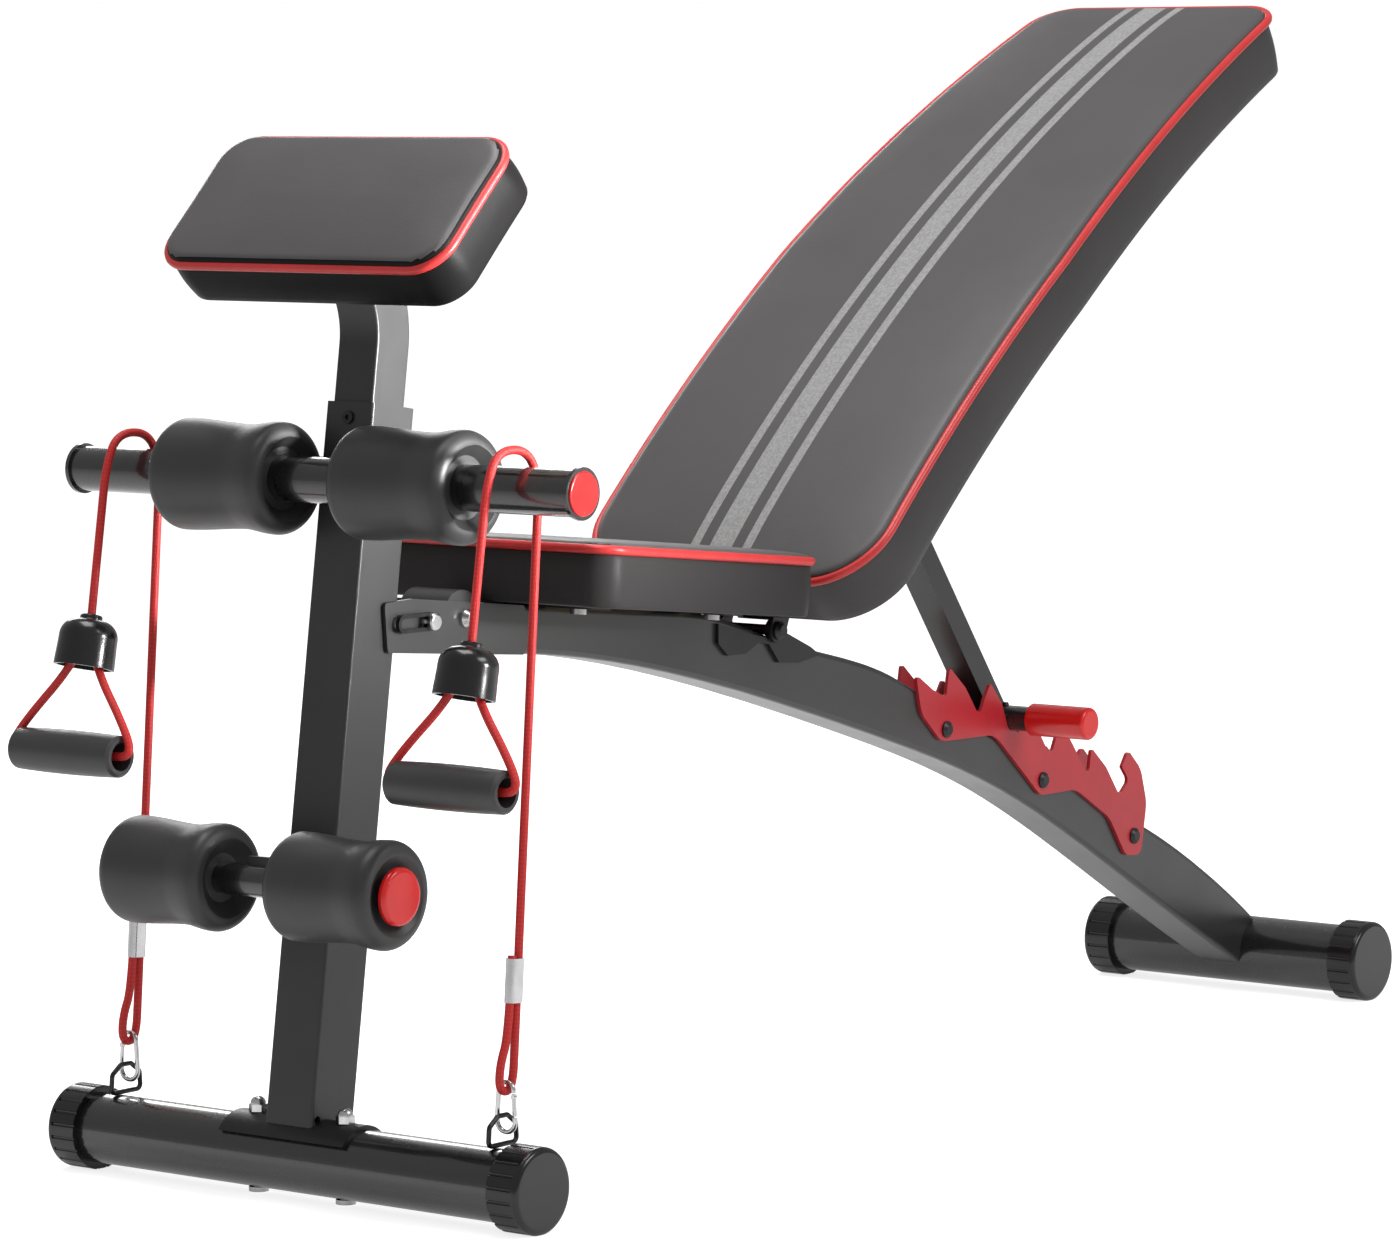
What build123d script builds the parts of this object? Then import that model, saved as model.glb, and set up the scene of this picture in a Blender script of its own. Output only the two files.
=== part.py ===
from build123d import *
from math import cos, hypot, radians, sin, tan
import os

os.makedirs("parts", exist_ok=True)

# Decline sit-up bench. Millimetres, +Z up, floor at z = 0, middle of the bench's length at x = 0.
# d is a distance behind the front foot's axis; +X runs to the rear foot; left is +Y, as seen
# by someone standing in front of the bench and facing it.

# ---------------------------------------------------------------- driving dimensions
front_foot_x = -584.2      # front foot's axis
gap = 0.35                 # between pieces of different bodies
fit = 0.05                 # radial fit of pins, caps and rollers
sheet = 3.0                # plate thickness

front_foot_z = 29.4
front_foot_radius = 25.0
front_foot_half = 212.0
front_cap_radius = 30.0
rear_foot_d = 1212.0
rear_foot_z = 33.0
rear_foot_radius = 28.5
rear_foot_half = 133.0
rear_cap_radius = 33.6
foot_wall = 2.5
cap_length = 26.0
cap_end = 3.2

post_lean = 8.0            # degrees from upright
post_foot_d = 0.5          # where the post's centreline meets the floor
post_width = 42.3
post_depth = 44.5
post_wall = 2.0
post_corner = 2.0
post_top = 552.0           # along the post from the floor
saddle_half = 57.0
foot_bolt_y = 40.0
saddle_drop = 16.0         # saddle's lower edge above the foot's axis

beam_half = 21.5
beam_wall = 2.5
beam_start_d = 176.0

fold_d, fold_z = 149.0, 394.0      # front post's folding hinge
lock_d, lock_z = 107.0, 395.0      # lock pin

seat_front_d, seat_front_z = 186.0, 445.5
seat_slope = 5.53
seat_depth = 254.0
seat_width = 247.0
seat_thickness = 41.0
seat_corner = 20.0

hinge_d, hinge_z = 514.0, 359.0    # backrest hinge
strut_d, strut_z = 671.0, 482.0    # strut's pivot on the backrest
cross_d, cross_z = 835.0, 265.0    # crossbar resting in the rack
rack_bolt_spots = ((741, 264), (877, 211), (1012, 152))
back_thickness = 52.0
back_half_widths = (134.5, 134.0, 112.0)   # at the bottom, at the taper's start, at the top
back_taper_from = 400.0
board = 12.0

upper_d, upper_z = 27.7, 496.4
upper_radius = 16.0
upper_half = 228.0
lower_d, lower_z = -39.7, 225.3
lower_radius = 11.0

rope_y = 173.0
rope_radius = 3.0
grip_d, grip_z = -45.0, 303.0      # grip's axis
grip_radius = 15.7
grip_bore = 10.0
grip_half = 48.5


# ---------------------------------------------------------------- helpers
def at(d, z, y=0.0):
    """Point by distance behind the front foot's axis, height and side."""
    return Vector(front_foot_x + d, y, z)


def side_at(y=0.0):
    """Side plane: local x is d, local y is height, its normal runs to the right (-Y)."""
    return Plane(origin=at(0, 0, y), x_dir=(1, 0, 0), z_dir=(0, -1, 0))


def across(d, z, y=0.0):
    """Plane square to Y, its normal running to the left (+Y)."""
    return Plane(origin=at(d, z, y), x_dir=(0, 0, 1), z_dir=(0, 1, 0))


def along_axis(d, z, y=0.0):
    """Plane holding a Y axis: local x is +Y, local y is up."""
    return Plane(origin=at(d, z, y), x_dir=(0, 1, 0), z_dir=(1, 0, 0))


def keep(piece, name):
    piece.part.label = name
    export_step(piece.part, f"parts/{name}.step")


def ring(d, z, outer, inner, y_from, y_to):
    """Round piece along Y, solid when inner is 0, in the open block."""
    with BuildSketch(across(d, z, y_from)) as face:
        Circle(outer)
        if inner:
            Circle(inner, mode=Mode.SUBTRACT)
    extrude(face.sketch, amount=y_to - y_from)


def dome(d, z, y, way, radius, height):
    """Domed bolt head at y, pointing along Y by way, in the open block."""
    shoulder = 0.4 * height
    ring(d, z, radius, 0, *sorted((y, y + way * shoulder)))
    crown = height - shoulder
    cone_turn = -90 * way
    with Locations(Location(at(d, z, y + way * (shoulder + 0.5 * crown)), (cone_turn, 0, 0))):
        Cone(radius, 0.62 * radius, crown)


def bolt_y(d, z, radius, y_end, head_radius, head):
    """Bolt along Y from -y_end to y_end with a domed head at each end, in the open block."""
    ring(d, z, radius, 0, -y_end, y_end)
    for way in (-1, 1):
        dome(d, z, way * y_end, way, head_radius, head)


def post_point(s, out=0.0, y=0.0):
    """Point s up the post's centreline and out towards its rear face."""
    lean = radians(post_lean)
    d = post_foot_d + s * sin(lean) + out * cos(lean)
    return at(d, s * cos(lean) - out * sin(lean), y)


def post_plane(s):
    """Plane square to the post: local x to the rear, local y to the left."""
    lean = radians(post_lean)
    return Plane(
        origin=post_point(s), x_dir=(cos(lean), 0, -sin(lean)), z_dir=(sin(lean), 0, cos(lean))
    )


# ---------------------------------------------------------------- feet
def foot_tube(d, z, radius, half):
    with BuildPart() as tube:
        ring(d, z, radius, radius - foot_wall, -half, half)
    return tube


def foot_bolt_holes():
    """Upright holes for the two bolts that clamp the post to the front foot."""
    for y in (-foot_bolt_y, foot_bolt_y):
        with Locations(at(0, front_foot_z, y)):
            Cylinder(4 + fit, 100, mode=Mode.SUBTRACT)


def foot_caps(d, z, tube_radius, half, radius, ribs=20):
    """Ribbed caps pushed over both ends of a foot tube, flat where they stand on the floor."""
    with BuildPart() as caps:
        ring(d, z, radius, 0, half + cap_end - cap_length, half + cap_end)
        fillet(caps.faces().sort_by(Axis.Y)[-1].edges(), 4)
        ring_start = half + cap_end - cap_length
        with BuildSketch(across(d, z, ring_start)):
            Circle(tube_radius + fit)
        extrude(amount=cap_length - cap_end, mode=Mode.SUBTRACT)
        with BuildSketch(across(d, z, ring_start)):
            with PolarLocations(radius + 0.4, ribs, start_angle=9):
                Circle(1.3)
        extrude(amount=cap_length - 5, mode=Mode.SUBTRACT)
        with Locations(at(d, -radius, half)):
            Box(2 * radius, 2 * cap_length, 2 * radius, mode=Mode.SUBTRACT)
        mirror(about=Plane.XZ)
    return caps


with BuildPart() as front_foot_tube:
    add(foot_tube(0, front_foot_z, front_foot_radius, front_foot_half).part)
    foot_bolt_holes()
keep(front_foot_tube, "front_foot_tube")
keep(
    foot_caps(0, front_foot_z, front_foot_radius, front_foot_half, front_cap_radius),
    "front_foot_caps",
)
keep(foot_tube(rear_foot_d, rear_foot_z, rear_foot_radius, rear_foot_half), "rear_foot_tube")
keep(
    foot_caps(rear_foot_d, rear_foot_z, rear_foot_radius, rear_foot_half, rear_cap_radius),
    "rear_foot_caps",
)

# Curved saddle plate between the post and the front foot.
with BuildPart() as post_foot_plate:
    ring(0, front_foot_z, front_foot_radius + sheet, front_foot_radius, -saddle_half, saddle_half)
    with Locations(at(0, front_foot_z + saddle_drop - 50)):
        Box(100, 200, 100, mode=Mode.SUBTRACT)
    foot_bolt_holes()
keep(post_foot_plate, "post_foot_plate")

# ---------------------------------------------------------------- main beam
def seat_underside(d):
    """Height of the seat pad's flat underside."""
    slope = radians(seat_slope)
    edge_d = seat_front_d - seat_thickness * sin(slope)
    edge_z = seat_front_z - seat_thickness * cos(slope)
    return edge_z - (d - edge_d) * tan(slope)


def beam_rest(d):
    """Height of the straight stretch of the beam's top that carries the seat brackets."""
    return seat_underside(d) - sheet - fit


def beam_outline(inset=0.0):
    """Closed side outline of the bent beam, both long edges moved in by inset."""
    top_start = (beam_start_d, beam_rest(beam_start_d) - inset)
    top_bend = (412, beam_rest(412) - inset)
    top_slope = (677, 310 - inset)
    top_end = (1033, 158 - inset)
    with BuildLine() as edge:
        Line(top_start, top_bend)
        Spline(top_bend, (525, 350.5 - inset), top_slope, tangents=((1, -0.0968), (1, -0.42)))
        Line(top_slope, top_end)
        Spline(top_end, (1120, 115 - inset), (1212, 58 - inset), tangents=((1, -0.43), (1, -0.7)))
        Line((1212, 58 - inset), (1190, 22 + inset))
        Spline(
            (1190, 22 + inset),
            (968, 138 + inset),
            (822, 209 + inset),
            (650, 267 + inset),
            (490, 312 + inset),
            (330, 348 + inset),
            (beam_start_d, 366 + inset),
        )
        Line((beam_start_d, 366 + inset), top_start)
    return edge


with BuildPart() as main_beam:
    with BuildSketch(side_at()) as beam_side:
        make_face(beam_outline().edges())
    extrude(amount=beam_half, both=True)
    long_edges = [
        e
        for face in (main_beam.faces().sort_by(Axis.Y)[0], main_beam.faces().sort_by(Axis.Y)[-1])
        for e in face.edges()
        if e.length > 70
    ]
    fillet(long_edges, 4)
    with BuildSketch(side_at()) as beam_bore:
        make_face(beam_outline(beam_wall).edges())
    extrude(amount=beam_half - beam_wall, both=True, mode=Mode.SUBTRACT)
    with BuildSketch(across(rear_foot_d, rear_foot_z)):
        Circle(rear_foot_radius + fit)
    extrude(amount=beam_half + 1, both=True, mode=Mode.SUBTRACT)
    with BuildSketch(side_at()):
        with Locations(*rack_bolt_spots):
            Circle(4 + fit)
    extrude(amount=beam_half + 1, both=True, mode=Mode.SUBTRACT)
keep(main_beam, "main_beam")

with BuildPart() as beam_front_plug:
    plug_mid = (beam_rest(beam_start_d) + 366) / 2
    plug_height = beam_rest(beam_start_d) - 366
    with BuildSketch(Plane(origin=at(beam_start_d, plug_mid), x_dir=(0, 1, 0), z_dir=(1, 0, 0))):
        RectangleRounded(2 * beam_half - 1, plug_height - 1, 3.5)
    extrude(amount=-2.5)
    with BuildSketch(Plane(origin=at(beam_start_d, plug_mid), x_dir=(0, 1, 0), z_dir=(1, 0, 0))):
        RectangleRounded(2 * (beam_half - beam_wall) - 1, plug_height - 2 * beam_wall - 4, 2)
    extrude(amount=14)
keep(beam_front_plug, "beam_front_plug")

# Cheek plates welded on both sides of the beam's front end; the folding post hangs between them.
cheek_outline = (
    (62.5, 410.5), (92, 411.5), (150, 405.5), (216, beam_rest(216)), (216, 363), (65.5, 375.6),
)
with BuildPart() as fold_cheek_plates:
    with BuildSketch(side_at(-beam_half)):
        with BuildLine():
            FilletPolyline(*cheek_outline, radius=3, close=True)
        make_face()
        with Locations((fold_d, fold_z)):
            Circle(4.0 + fit, mode=Mode.SUBTRACT)
        with Locations((lock_d, lock_z)):
            Circle(5.0 + gap, mode=Mode.SUBTRACT)
    extrude(amount=sheet)
    mirror(about=Plane.XZ)
keep(fold_cheek_plates, "fold_cheek_plates")

with BuildPart() as fold_hinge_bolt:
    cheek_face = beam_half + sheet
    bolt_y(fold_d, fold_z, 4.0, cheek_face, 6.5, 6.5)
keep(fold_hinge_bolt, "fold_hinge_bolt")

# Lock pin: head on the right with a neck for its oblong pull ring, tip through the left cheek.
pull_length, pull_height, pull_wall = 42.0, 13.0, 2.8
neck_radius = (pull_height - 2 * pull_wall) / 2 - fit
with BuildPart() as lock_pin:
    ring(lock_d, lock_z, 5.0, 0, -cheek_face - 2, cheek_face + 4)
    ring(lock_d, lock_z, 6.5, 0, -cheek_face - 2, -cheek_face - gap)
    ring(lock_d, lock_z, neck_radius, 0, -cheek_face - 5.2, -cheek_face - 2)
    ring(lock_d, lock_z, 6.2, 0, -cheek_face - 10, -cheek_face - 5.2)
    fillet(lock_pin.faces().sort_by(Axis.Y)[0].edges(), 2)
keep(lock_pin, "lock_pin")

with BuildPart() as lock_pin_ring:
    ring_middle = lock_d - (pull_length - pull_height) / 2
    with BuildSketch(side_at(-cheek_face - 2.1)):
        with Locations((ring_middle, lock_z)):
            SlotOverall(pull_length, pull_height)
            SlotOverall(pull_length - 2 * pull_wall, pull_height - 2 * pull_wall, mode=Mode.SUBTRACT)
    extrude(amount=3)
keep(lock_pin_ring, "lock_pin_ring")

# ---------------------------------------------------------------- rack
# Two toothed plates; the crossbar drops into one of five steps behind a tooth.
rack_pitch_d, rack_pitch_z = 101.5, -41.0
rack_inner = beam_half
cross_radius = 10.0
cross_exit = (-0.387, 0.922)       # the way the crossbar leaves its notch


def rack_edge():
    """Corners of a rack plate's outline and the radius at each, from its front tip over the top."""
    corners = [((699, 311), 2.5), ((722, 297), 14)]
    unit = (
        ((740.5, 289.5), 3.5),     # step
        ((745, 313), 2.2),         # tooth
        ((767, 295), 16),
        ((787, 269.5), 5.5),       # notch
        ((794, 284), 8),
        ((802, 296), 2.2),         # hook
        ((819, 277), 18),
    )
    for step in range(3):
        shift_d, shift_z = step * rack_pitch_d, step * rack_pitch_z
        corners += [((d + shift_d, z + shift_z), radius) for (d, z), radius in unit]
    claw = [((1004, 199), 5), ((993.5, 211), 1.6), ((1003, 224), 4)]
    corners[-3:] = claw
    corners += [
        ((1022, 207), 25), ((1031, 178), 25), ((1023, 135), 9), ((1000, 137), 12),
        ((975, 171), 30), ((925, 199), 35), ((874, 199), 12), ((808, 254), 30),
        ((734, 255), 16), ((707, 279), 20),
    ]
    return corners


with BuildPart() as rack_plate_left:
    with BuildSketch(side_at(rack_inner)):
        with BuildLine():
            FilletPolyline(
                *[corner for corner, radius in rack_edge()],
                radius=[radius for corner, radius in rack_edge()], close=True,
            )
        make_face()
        with Locations((cross_d, cross_z)):
            Circle(cross_radius + gap, mode=Mode.SUBTRACT)
        mouth = (cross_d + 30 * cross_exit[0], cross_z + 30 * cross_exit[1])
        with Locations(mouth):
            Rectangle(60, 2 * (cross_radius + gap), rotation=112.8, mode=Mode.SUBTRACT)
        with Locations(*rack_bolt_spots):
            Circle(4.0 + fit, mode=Mode.SUBTRACT)
    extrude(amount=-sheet)
keep(rack_plate_left, "rack_plate_left")
with BuildPart() as rack_plate_right:
    mirror(rack_plate_left.part, about=Plane.XZ)
keep(rack_plate_right, "rack_plate_right")

# ---------------------------------------------------------------- seat
seat_lean = radians(seat_slope)
seat_plane = Plane(
    origin=at(seat_front_d, seat_front_z),
    x_dir=(cos(seat_lean), 0, -sin(seat_lean)),
    z_dir=(sin(seat_lean), 0, cos(seat_lean)),
)
board_inset = 14.0
seat_middle = seat_depth / 2
seat_strips = (51.0, 208.0)        # bracket strips, along the seat from its front
seat_screw_y = 60.0

with BuildPart() as seat_board:
    with BuildSketch(seat_plane.offset(-seat_thickness)):
        with Locations((seat_middle, 0)):
            RectangleRounded(seat_depth - 2 * board_inset, seat_width - 2 * board_inset, 10)
    extrude(amount=board)
    with BuildSketch(seat_plane.offset(-seat_thickness)):
        with Locations(*[(x, y) for x in seat_strips for y in (-seat_screw_y, seat_screw_y)]):
            Circle(3 + fit)
    extrude(amount=9, mode=Mode.SUBTRACT)
keep(seat_board, "seat_board")

with BuildPart() as seat_pad:
    with BuildSketch(seat_plane.offset(-seat_thickness)):
        with Locations((seat_middle, 0)):
            RectangleRounded(seat_depth, seat_width, seat_corner)
    extrude(amount=seat_thickness)
    with BuildSketch(seat_plane.offset(-seat_thickness)):
        with Locations((seat_middle, 0)):
            RectangleRounded(seat_depth - 2 * board_inset, seat_width - 2 * board_inset, 10)
    extrude(amount=board, mode=Mode.SUBTRACT)
keep(seat_pad, "seat_pad")

with BuildPart() as seat_brackets:
    with BuildSketch(seat_plane.offset(-seat_thickness - sheet)):
        with Locations(*[(x, 0) for x in seat_strips]):
            RectangleRounded(28, 160, 4)
        with Locations(*[(x, y) for x in seat_strips for y in (-seat_screw_y, seat_screw_y)]):
            Circle(3 + fit, mode=Mode.SUBTRACT)
    extrude(amount=sheet)
keep(seat_brackets, "seat_brackets")

with BuildPart() as seat_screws:
    with BuildSketch(seat_plane.offset(-seat_thickness - sheet - 4)):
        with Locations(*[(x, y) for x in seat_strips for y in (-seat_screw_y, seat_screw_y)]):
            Circle(6)
    extrude(amount=4)
    with BuildSketch(seat_plane.offset(-seat_thickness - sheet)):
        with Locations(*[(x, y) for x in seat_strips for y in (-seat_screw_y, seat_screw_y)]):
            Circle(3)
    extrude(amount=sheet + 8.5)
keep(seat_screws, "seat_screws")

# ---------------------------------------------------------------- backrest
back_radius = 1950.0               # bend of the backrest's top face
back_angle = 46.25                 # its slope at the bottom edge
back_length = 762.0
back_low_d, back_low_z = 464.0, 401.0
back_centre_d = back_low_d + back_radius * sin(radians(back_angle))
back_centre_z = back_low_z - back_radius * cos(radians(back_angle))
back_chord_angle = back_angle - 11.2
back_chord = 757.4
plate_depth = back_thickness + sheet
spine_depth = plate_depth + 15.0
spine_half = 19.5
weld = 1.5                         # how far welded pieces run into each other


def back_side(s, depth):
    """Side-plane point s up the backrest and depth below its top face."""
    angle = radians(back_angle) - s / back_radius
    reach = back_radius - depth
    return (back_centre_d - reach * sin(angle), back_centre_z + reach * cos(angle))


def slab(s_from, s_to, depth_from, depth_to, half, mode=Mode.ADD):
    """Strip of the backrest's bent section, in the open block."""
    middle = (s_from + s_to) / 2
    with BuildSketch(side_at()) as face:
        with BuildLine():
            top = ThreePointArc(*[back_side(s, depth_from) for s in (s_from, middle, s_to)])
            low = ThreePointArc(*[back_side(s, depth_to) for s in (s_from, middle, s_to)])
            Line(top @ 0, low @ 0)
            Line(top @ 1, low @ 1)
        make_face()
    extrude(face.sketch, amount=half, both=True, mode=mode)


def back_plan(inset):
    """Trims the open block to the backrest's tapered, round-cornered outline."""
    lean = radians(back_chord_angle)
    plan = Plane(
        origin=at(back_low_d, back_low_z),
        x_dir=(cos(lean), 0, sin(lean)),
        z_dir=(-sin(lean), 0, cos(lean)),
    )
    low, middle, high = (half - inset for half in back_half_widths)
    start, end = inset - 0.5, back_chord + 0.5 - inset
    corners = ((start, -low), (back_taper_from, -middle), (end, -high))
    radii = (55 - inset, 600, 30 - inset)
    with BuildSketch(plan) as face:
        with BuildLine():
            FilletPolyline(
                *corners, *[(x, -y) for x, y in reversed(corners)],
                radius=(*radii, *reversed(radii)), close=True,
            )
        make_face()
    extrude(face.sketch, amount=200, both=True, mode=Mode.INTERSECT)


def back_plane(s, depth, y):
    """Plane on the backrest's section, its normal pointing into the pad from below."""
    d, z = back_side(s, depth)
    angle = radians(back_angle) - s / back_radius
    return Plane(
        origin=at(d, z, y), x_dir=(cos(angle), 0, sin(angle)), z_dir=(-sin(angle), 0, cos(angle))
    )


back_screw_spots = [(s, y) for s in (28.0, 66.0, 236.0, 405.0) for y in (-46.0, 46.0)]

with BuildPart() as backrest_board:
    slab(
        board_inset, back_length - board_inset, back_thickness - board, back_thickness,
        back_half_widths[2] - board_inset,
    )
    for s, y in back_screw_spots:
        with BuildSketch(back_plane(s, back_thickness, y)):
            Circle(3 + fit)
        extrude(amount=9, both=True, mode=Mode.SUBTRACT)
keep(backrest_board, "backrest_board")

with BuildPart() as backrest_pad:
    slab(0, back_length, 0, back_thickness, 200)
    back_plan(0)
    slab(
        board_inset, back_length - board_inset, back_thickness - board, back_thickness + 5,
        back_half_widths[2] - board_inset, Mode.SUBTRACT,
    )
keep(backrest_pad, "backrest_pad")

with BuildPart() as backrest_frame:
    for s_from, s_to in ((9.0, 88.0), (214.0, 258.0), (383.0, 427.0)):
        slab(s_from, s_to, back_thickness, plate_depth, 62)
    slab(18, 427, plate_depth - weld, spine_depth, spine_half)
    slab(17, 428, plate_depth + 2, spine_depth - 2, spine_half - 2, Mode.SUBTRACT)
    for s, y in back_screw_spots:
        with BuildSketch(back_plane(s, plate_depth, y)):
            Circle(3 + fit)
        extrude(amount=sheet + 1, both=True, mode=Mode.SUBTRACT)
    ear_face = beam_half + sheet + gap
    with BuildSketch(side_at(-ear_face)):
        with BuildLine():
            Polyline(
                back_side(9, plate_depth - weld), back_side(60, plate_depth - weld),
                (hinge_d + 9, hinge_z - 4), (hinge_d - 8.5, hinge_z + 3), close=True,
            )
        make_face()
        with Locations((hinge_d, hinge_z)):
            Circle(9.5)
            Circle(4 + fit, mode=Mode.SUBTRACT)
    extrude(amount=sheet)
    with BuildSketch(side_at(-12.5 - gap)):
        with BuildLine():
            Polyline(
                back_side(190, spine_depth - weld), back_side(236, spine_depth - weld),
                (strut_d + 9, strut_z - 6), (strut_d - 10, strut_z + 1), close=True,
            )
        make_face()
        with Locations((strut_d, strut_z)):
            Circle(11)
            Circle(4 + fit, mode=Mode.SUBTRACT)
    extrude(amount=sheet)
    mirror(about=Plane.XZ)
keep(backrest_frame, "backrest_frame")

with BuildPart() as backrest_screws:
    for s, y in back_screw_spots:
        with BuildSketch(back_plane(s, plate_depth + 0.03, y)):
            Circle(6)
        extrude(amount=-3.5)
        with BuildSketch(back_plane(s, plate_depth + 0.03, y)):
            Circle(3)
        extrude(amount=sheet + 8.5)
keep(backrest_screws, "backrest_screws")

# Plates on the beam's sides that carry the backrest's hinge.
yoke_outline = (
    (444, 369), (444, 354), (456, 344), (478, 344), (494, 351), (507, 349), (520, 334),
    (545, 332), (572, 336), (560, 343), (524, 358), (505, 354), (486, 358),
)
with BuildPart() as back_hinge_yoke:
    with BuildSketch(side_at(-beam_half)):
        with BuildLine():
            Polyline(*yoke_outline, close=True)
        make_face()
        with Locations((hinge_d, hinge_z)):
            Circle(9)
            Circle(4 + fit, mode=Mode.SUBTRACT)
    extrude(amount=sheet)
    mirror(about=Plane.XZ)
keep(back_hinge_yoke, "back_hinge_yoke")

with BuildPart() as back_hinge_bolt:
    ear_outer = ear_face + sheet
    bolt_y(hinge_d, hinge_z, 4.0, ear_outer, 7, 5.5)
keep(back_hinge_bolt, "back_hinge_bolt")

with BuildPart() as strut_pivot_bolt:
    strut_ear_outer = 12.5 + gap + sheet
    bolt_y(strut_d, strut_z, 4.0, strut_ear_outer, 6.5, 4.5)
keep(strut_pivot_bolt, "strut_pivot_bolt")

# ---------------------------------------------------------------- strut and crossbar
strut_length = hypot(cross_d - strut_d, cross_z - strut_z)
strut_half_width, strut_half_depth = 12.5, 10.0
cross_half = 96.0
cross_cap_length, cross_cap_radius = 55.0, 13.0
strut_plane = Plane(
    origin=at(strut_d, strut_z),
    x_dir=(cross_d - strut_d, 0, cross_z - strut_z),
    z_dir=(0, -1, 0),
)

with BuildPart() as support_strut:
    with BuildSketch(strut_plane):
        Circle(strut_half_depth)
        with Locations((strut_length / 2, 0)):
            Rectangle(strut_length, 2 * strut_half_depth)
    extrude(amount=strut_half_width, both=True)
    with BuildSketch(strut_plane):
        with Locations((strut_length / 2 + 12, 0)):
            Rectangle(strut_length, 2 * strut_half_depth - 4)
    extrude(amount=strut_half_width - 2, both=True, mode=Mode.SUBTRACT)
    with BuildSketch(strut_plane):
        Circle(4 + fit)
        with Locations((strut_length, 0)):
            Circle(cross_radius + fit)
    extrude(amount=strut_half_width, both=True, mode=Mode.SUBTRACT)
keep(support_strut, "support_strut")

screw_y = -16.2
with BuildPart() as crossbar:
    ring(cross_d, cross_z, cross_radius, cross_radius - 2, -cross_half, cross_half)
    with BuildSketch(Plane(origin=at(cross_d, cross_z, screw_y), z_dir=(0, 0, 1))):
        Circle(2 + fit)
    extrude(amount=cross_radius + 5, mode=Mode.SUBTRACT)
keep(crossbar, "crossbar")

with BuildPart() as crossbar_screw:
    with BuildSketch(Plane(origin=at(cross_d, cross_z + 4, screw_y), z_dir=(0, 0, 1))):
        Circle(2)
    extrude(amount=cross_radius - 3.5)
    with BuildSketch(Plane(origin=at(cross_d, cross_z + cross_radius + fit, screw_y))):
        Circle(3.1)
    extrude(amount=2.2, taper=20)
keep(crossbar_screw, "crossbar_screw")

with BuildPart() as crossbar_caps:
    cap_outer = cross_half + 2.5
    ring(cross_d, cross_z, cross_cap_radius, 0, cap_outer - cross_cap_length, cap_outer)
    fillet(crossbar_caps.faces().sort_by(Axis.Y)[-1].edges(), 3)
    with BuildSketch(across(cross_d, cross_z, cap_outer - cross_cap_length)):
        Circle(cross_radius + fit)
    extrude(amount=cross_cap_length - 2.5, mode=Mode.SUBTRACT)
    mirror(about=Plane.XZ)
keep(crossbar_caps, "crossbar_caps")

with BuildPart() as rack_bolts:
    for d, z in rack_bolt_spots:
        outer = beam_half + sheet
        bolt_y(d, z, 4.0, outer, 6.5, 3.5)
keep(rack_bolts, "rack_bolts")

# ---------------------------------------------------------------- front post
pole_depth, pole_width, pole_corner = 35.0, 35.5, 2.0
pole_out = -2.0                    # pole sits towards the post's front wall
socket_length = 60.0
saddle_radius = front_foot_radius + sheet
post_face = post_depth / 2
clamp_s = 541.0
post_hole_d, post_hole_z = -7.5, 58.0      # drain hole through the post's side walls
lean_angle = radians(post_lean)

with BuildPart() as front_post:
    with BuildSketch(post_plane(30)):
        RectangleRounded(post_depth, post_width, post_corner)
    extrude(amount=post_top - 30)
    with BuildSketch(post_plane(30)):
        RectangleRounded(post_depth - 2 * post_wall, post_width - 2 * post_wall, 1)
    extrude(amount=post_top - 30 - socket_length, mode=Mode.SUBTRACT)
    with BuildSketch(post_plane(30)):
        with Locations((pole_out, 0)):
            RectangleRounded(pole_depth + 2 * gap, pole_width + 2 * gap, pole_corner)
    extrude(amount=post_top, mode=Mode.SUBTRACT)
    with BuildSketch(across(0, front_foot_z, -60)):
        Circle(saddle_radius + fit)
    extrude(amount=120, mode=Mode.SUBTRACT)
    with Locations(at(0, 0)):
        Box(200, 100, 2 * (front_foot_z + saddle_drop), mode=Mode.SUBTRACT)
    with BuildSketch(
        Plane(
            origin=post_point(clamp_s, -post_face), x_dir=(0, 1, 0),
            z_dir=(cos(lean_angle), 0, -sin(lean_angle)),
        )
    ):
        Circle(3 + fit)
    extrude(amount=6, mode=Mode.SUBTRACT)
    with BuildSketch(across(0, 0)):
        with Locations((post_hole_z, post_hole_d)):
            Circle(3)
    extrude(amount=post_width, both=True, mode=Mode.SUBTRACT)
keep(front_post, "front_post")

with BuildPart() as post_clamp_screw:
    screw_out = Plane(
        origin=post_point(clamp_s, -post_face), x_dir=(0, 1, 0),
        z_dir=(-cos(lean_angle), 0, sin(lean_angle)),
    )
    with BuildSketch(screw_out):
        Circle(4.5)
        RegularPolygon(2, 6, mode=Mode.SUBTRACT)
    extrude(amount=1.6)
    with BuildSketch(screw_out):
        Circle(3)
    extrude(amount=-2.2)
keep(post_clamp_screw, "post_clamp_screw")

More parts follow.
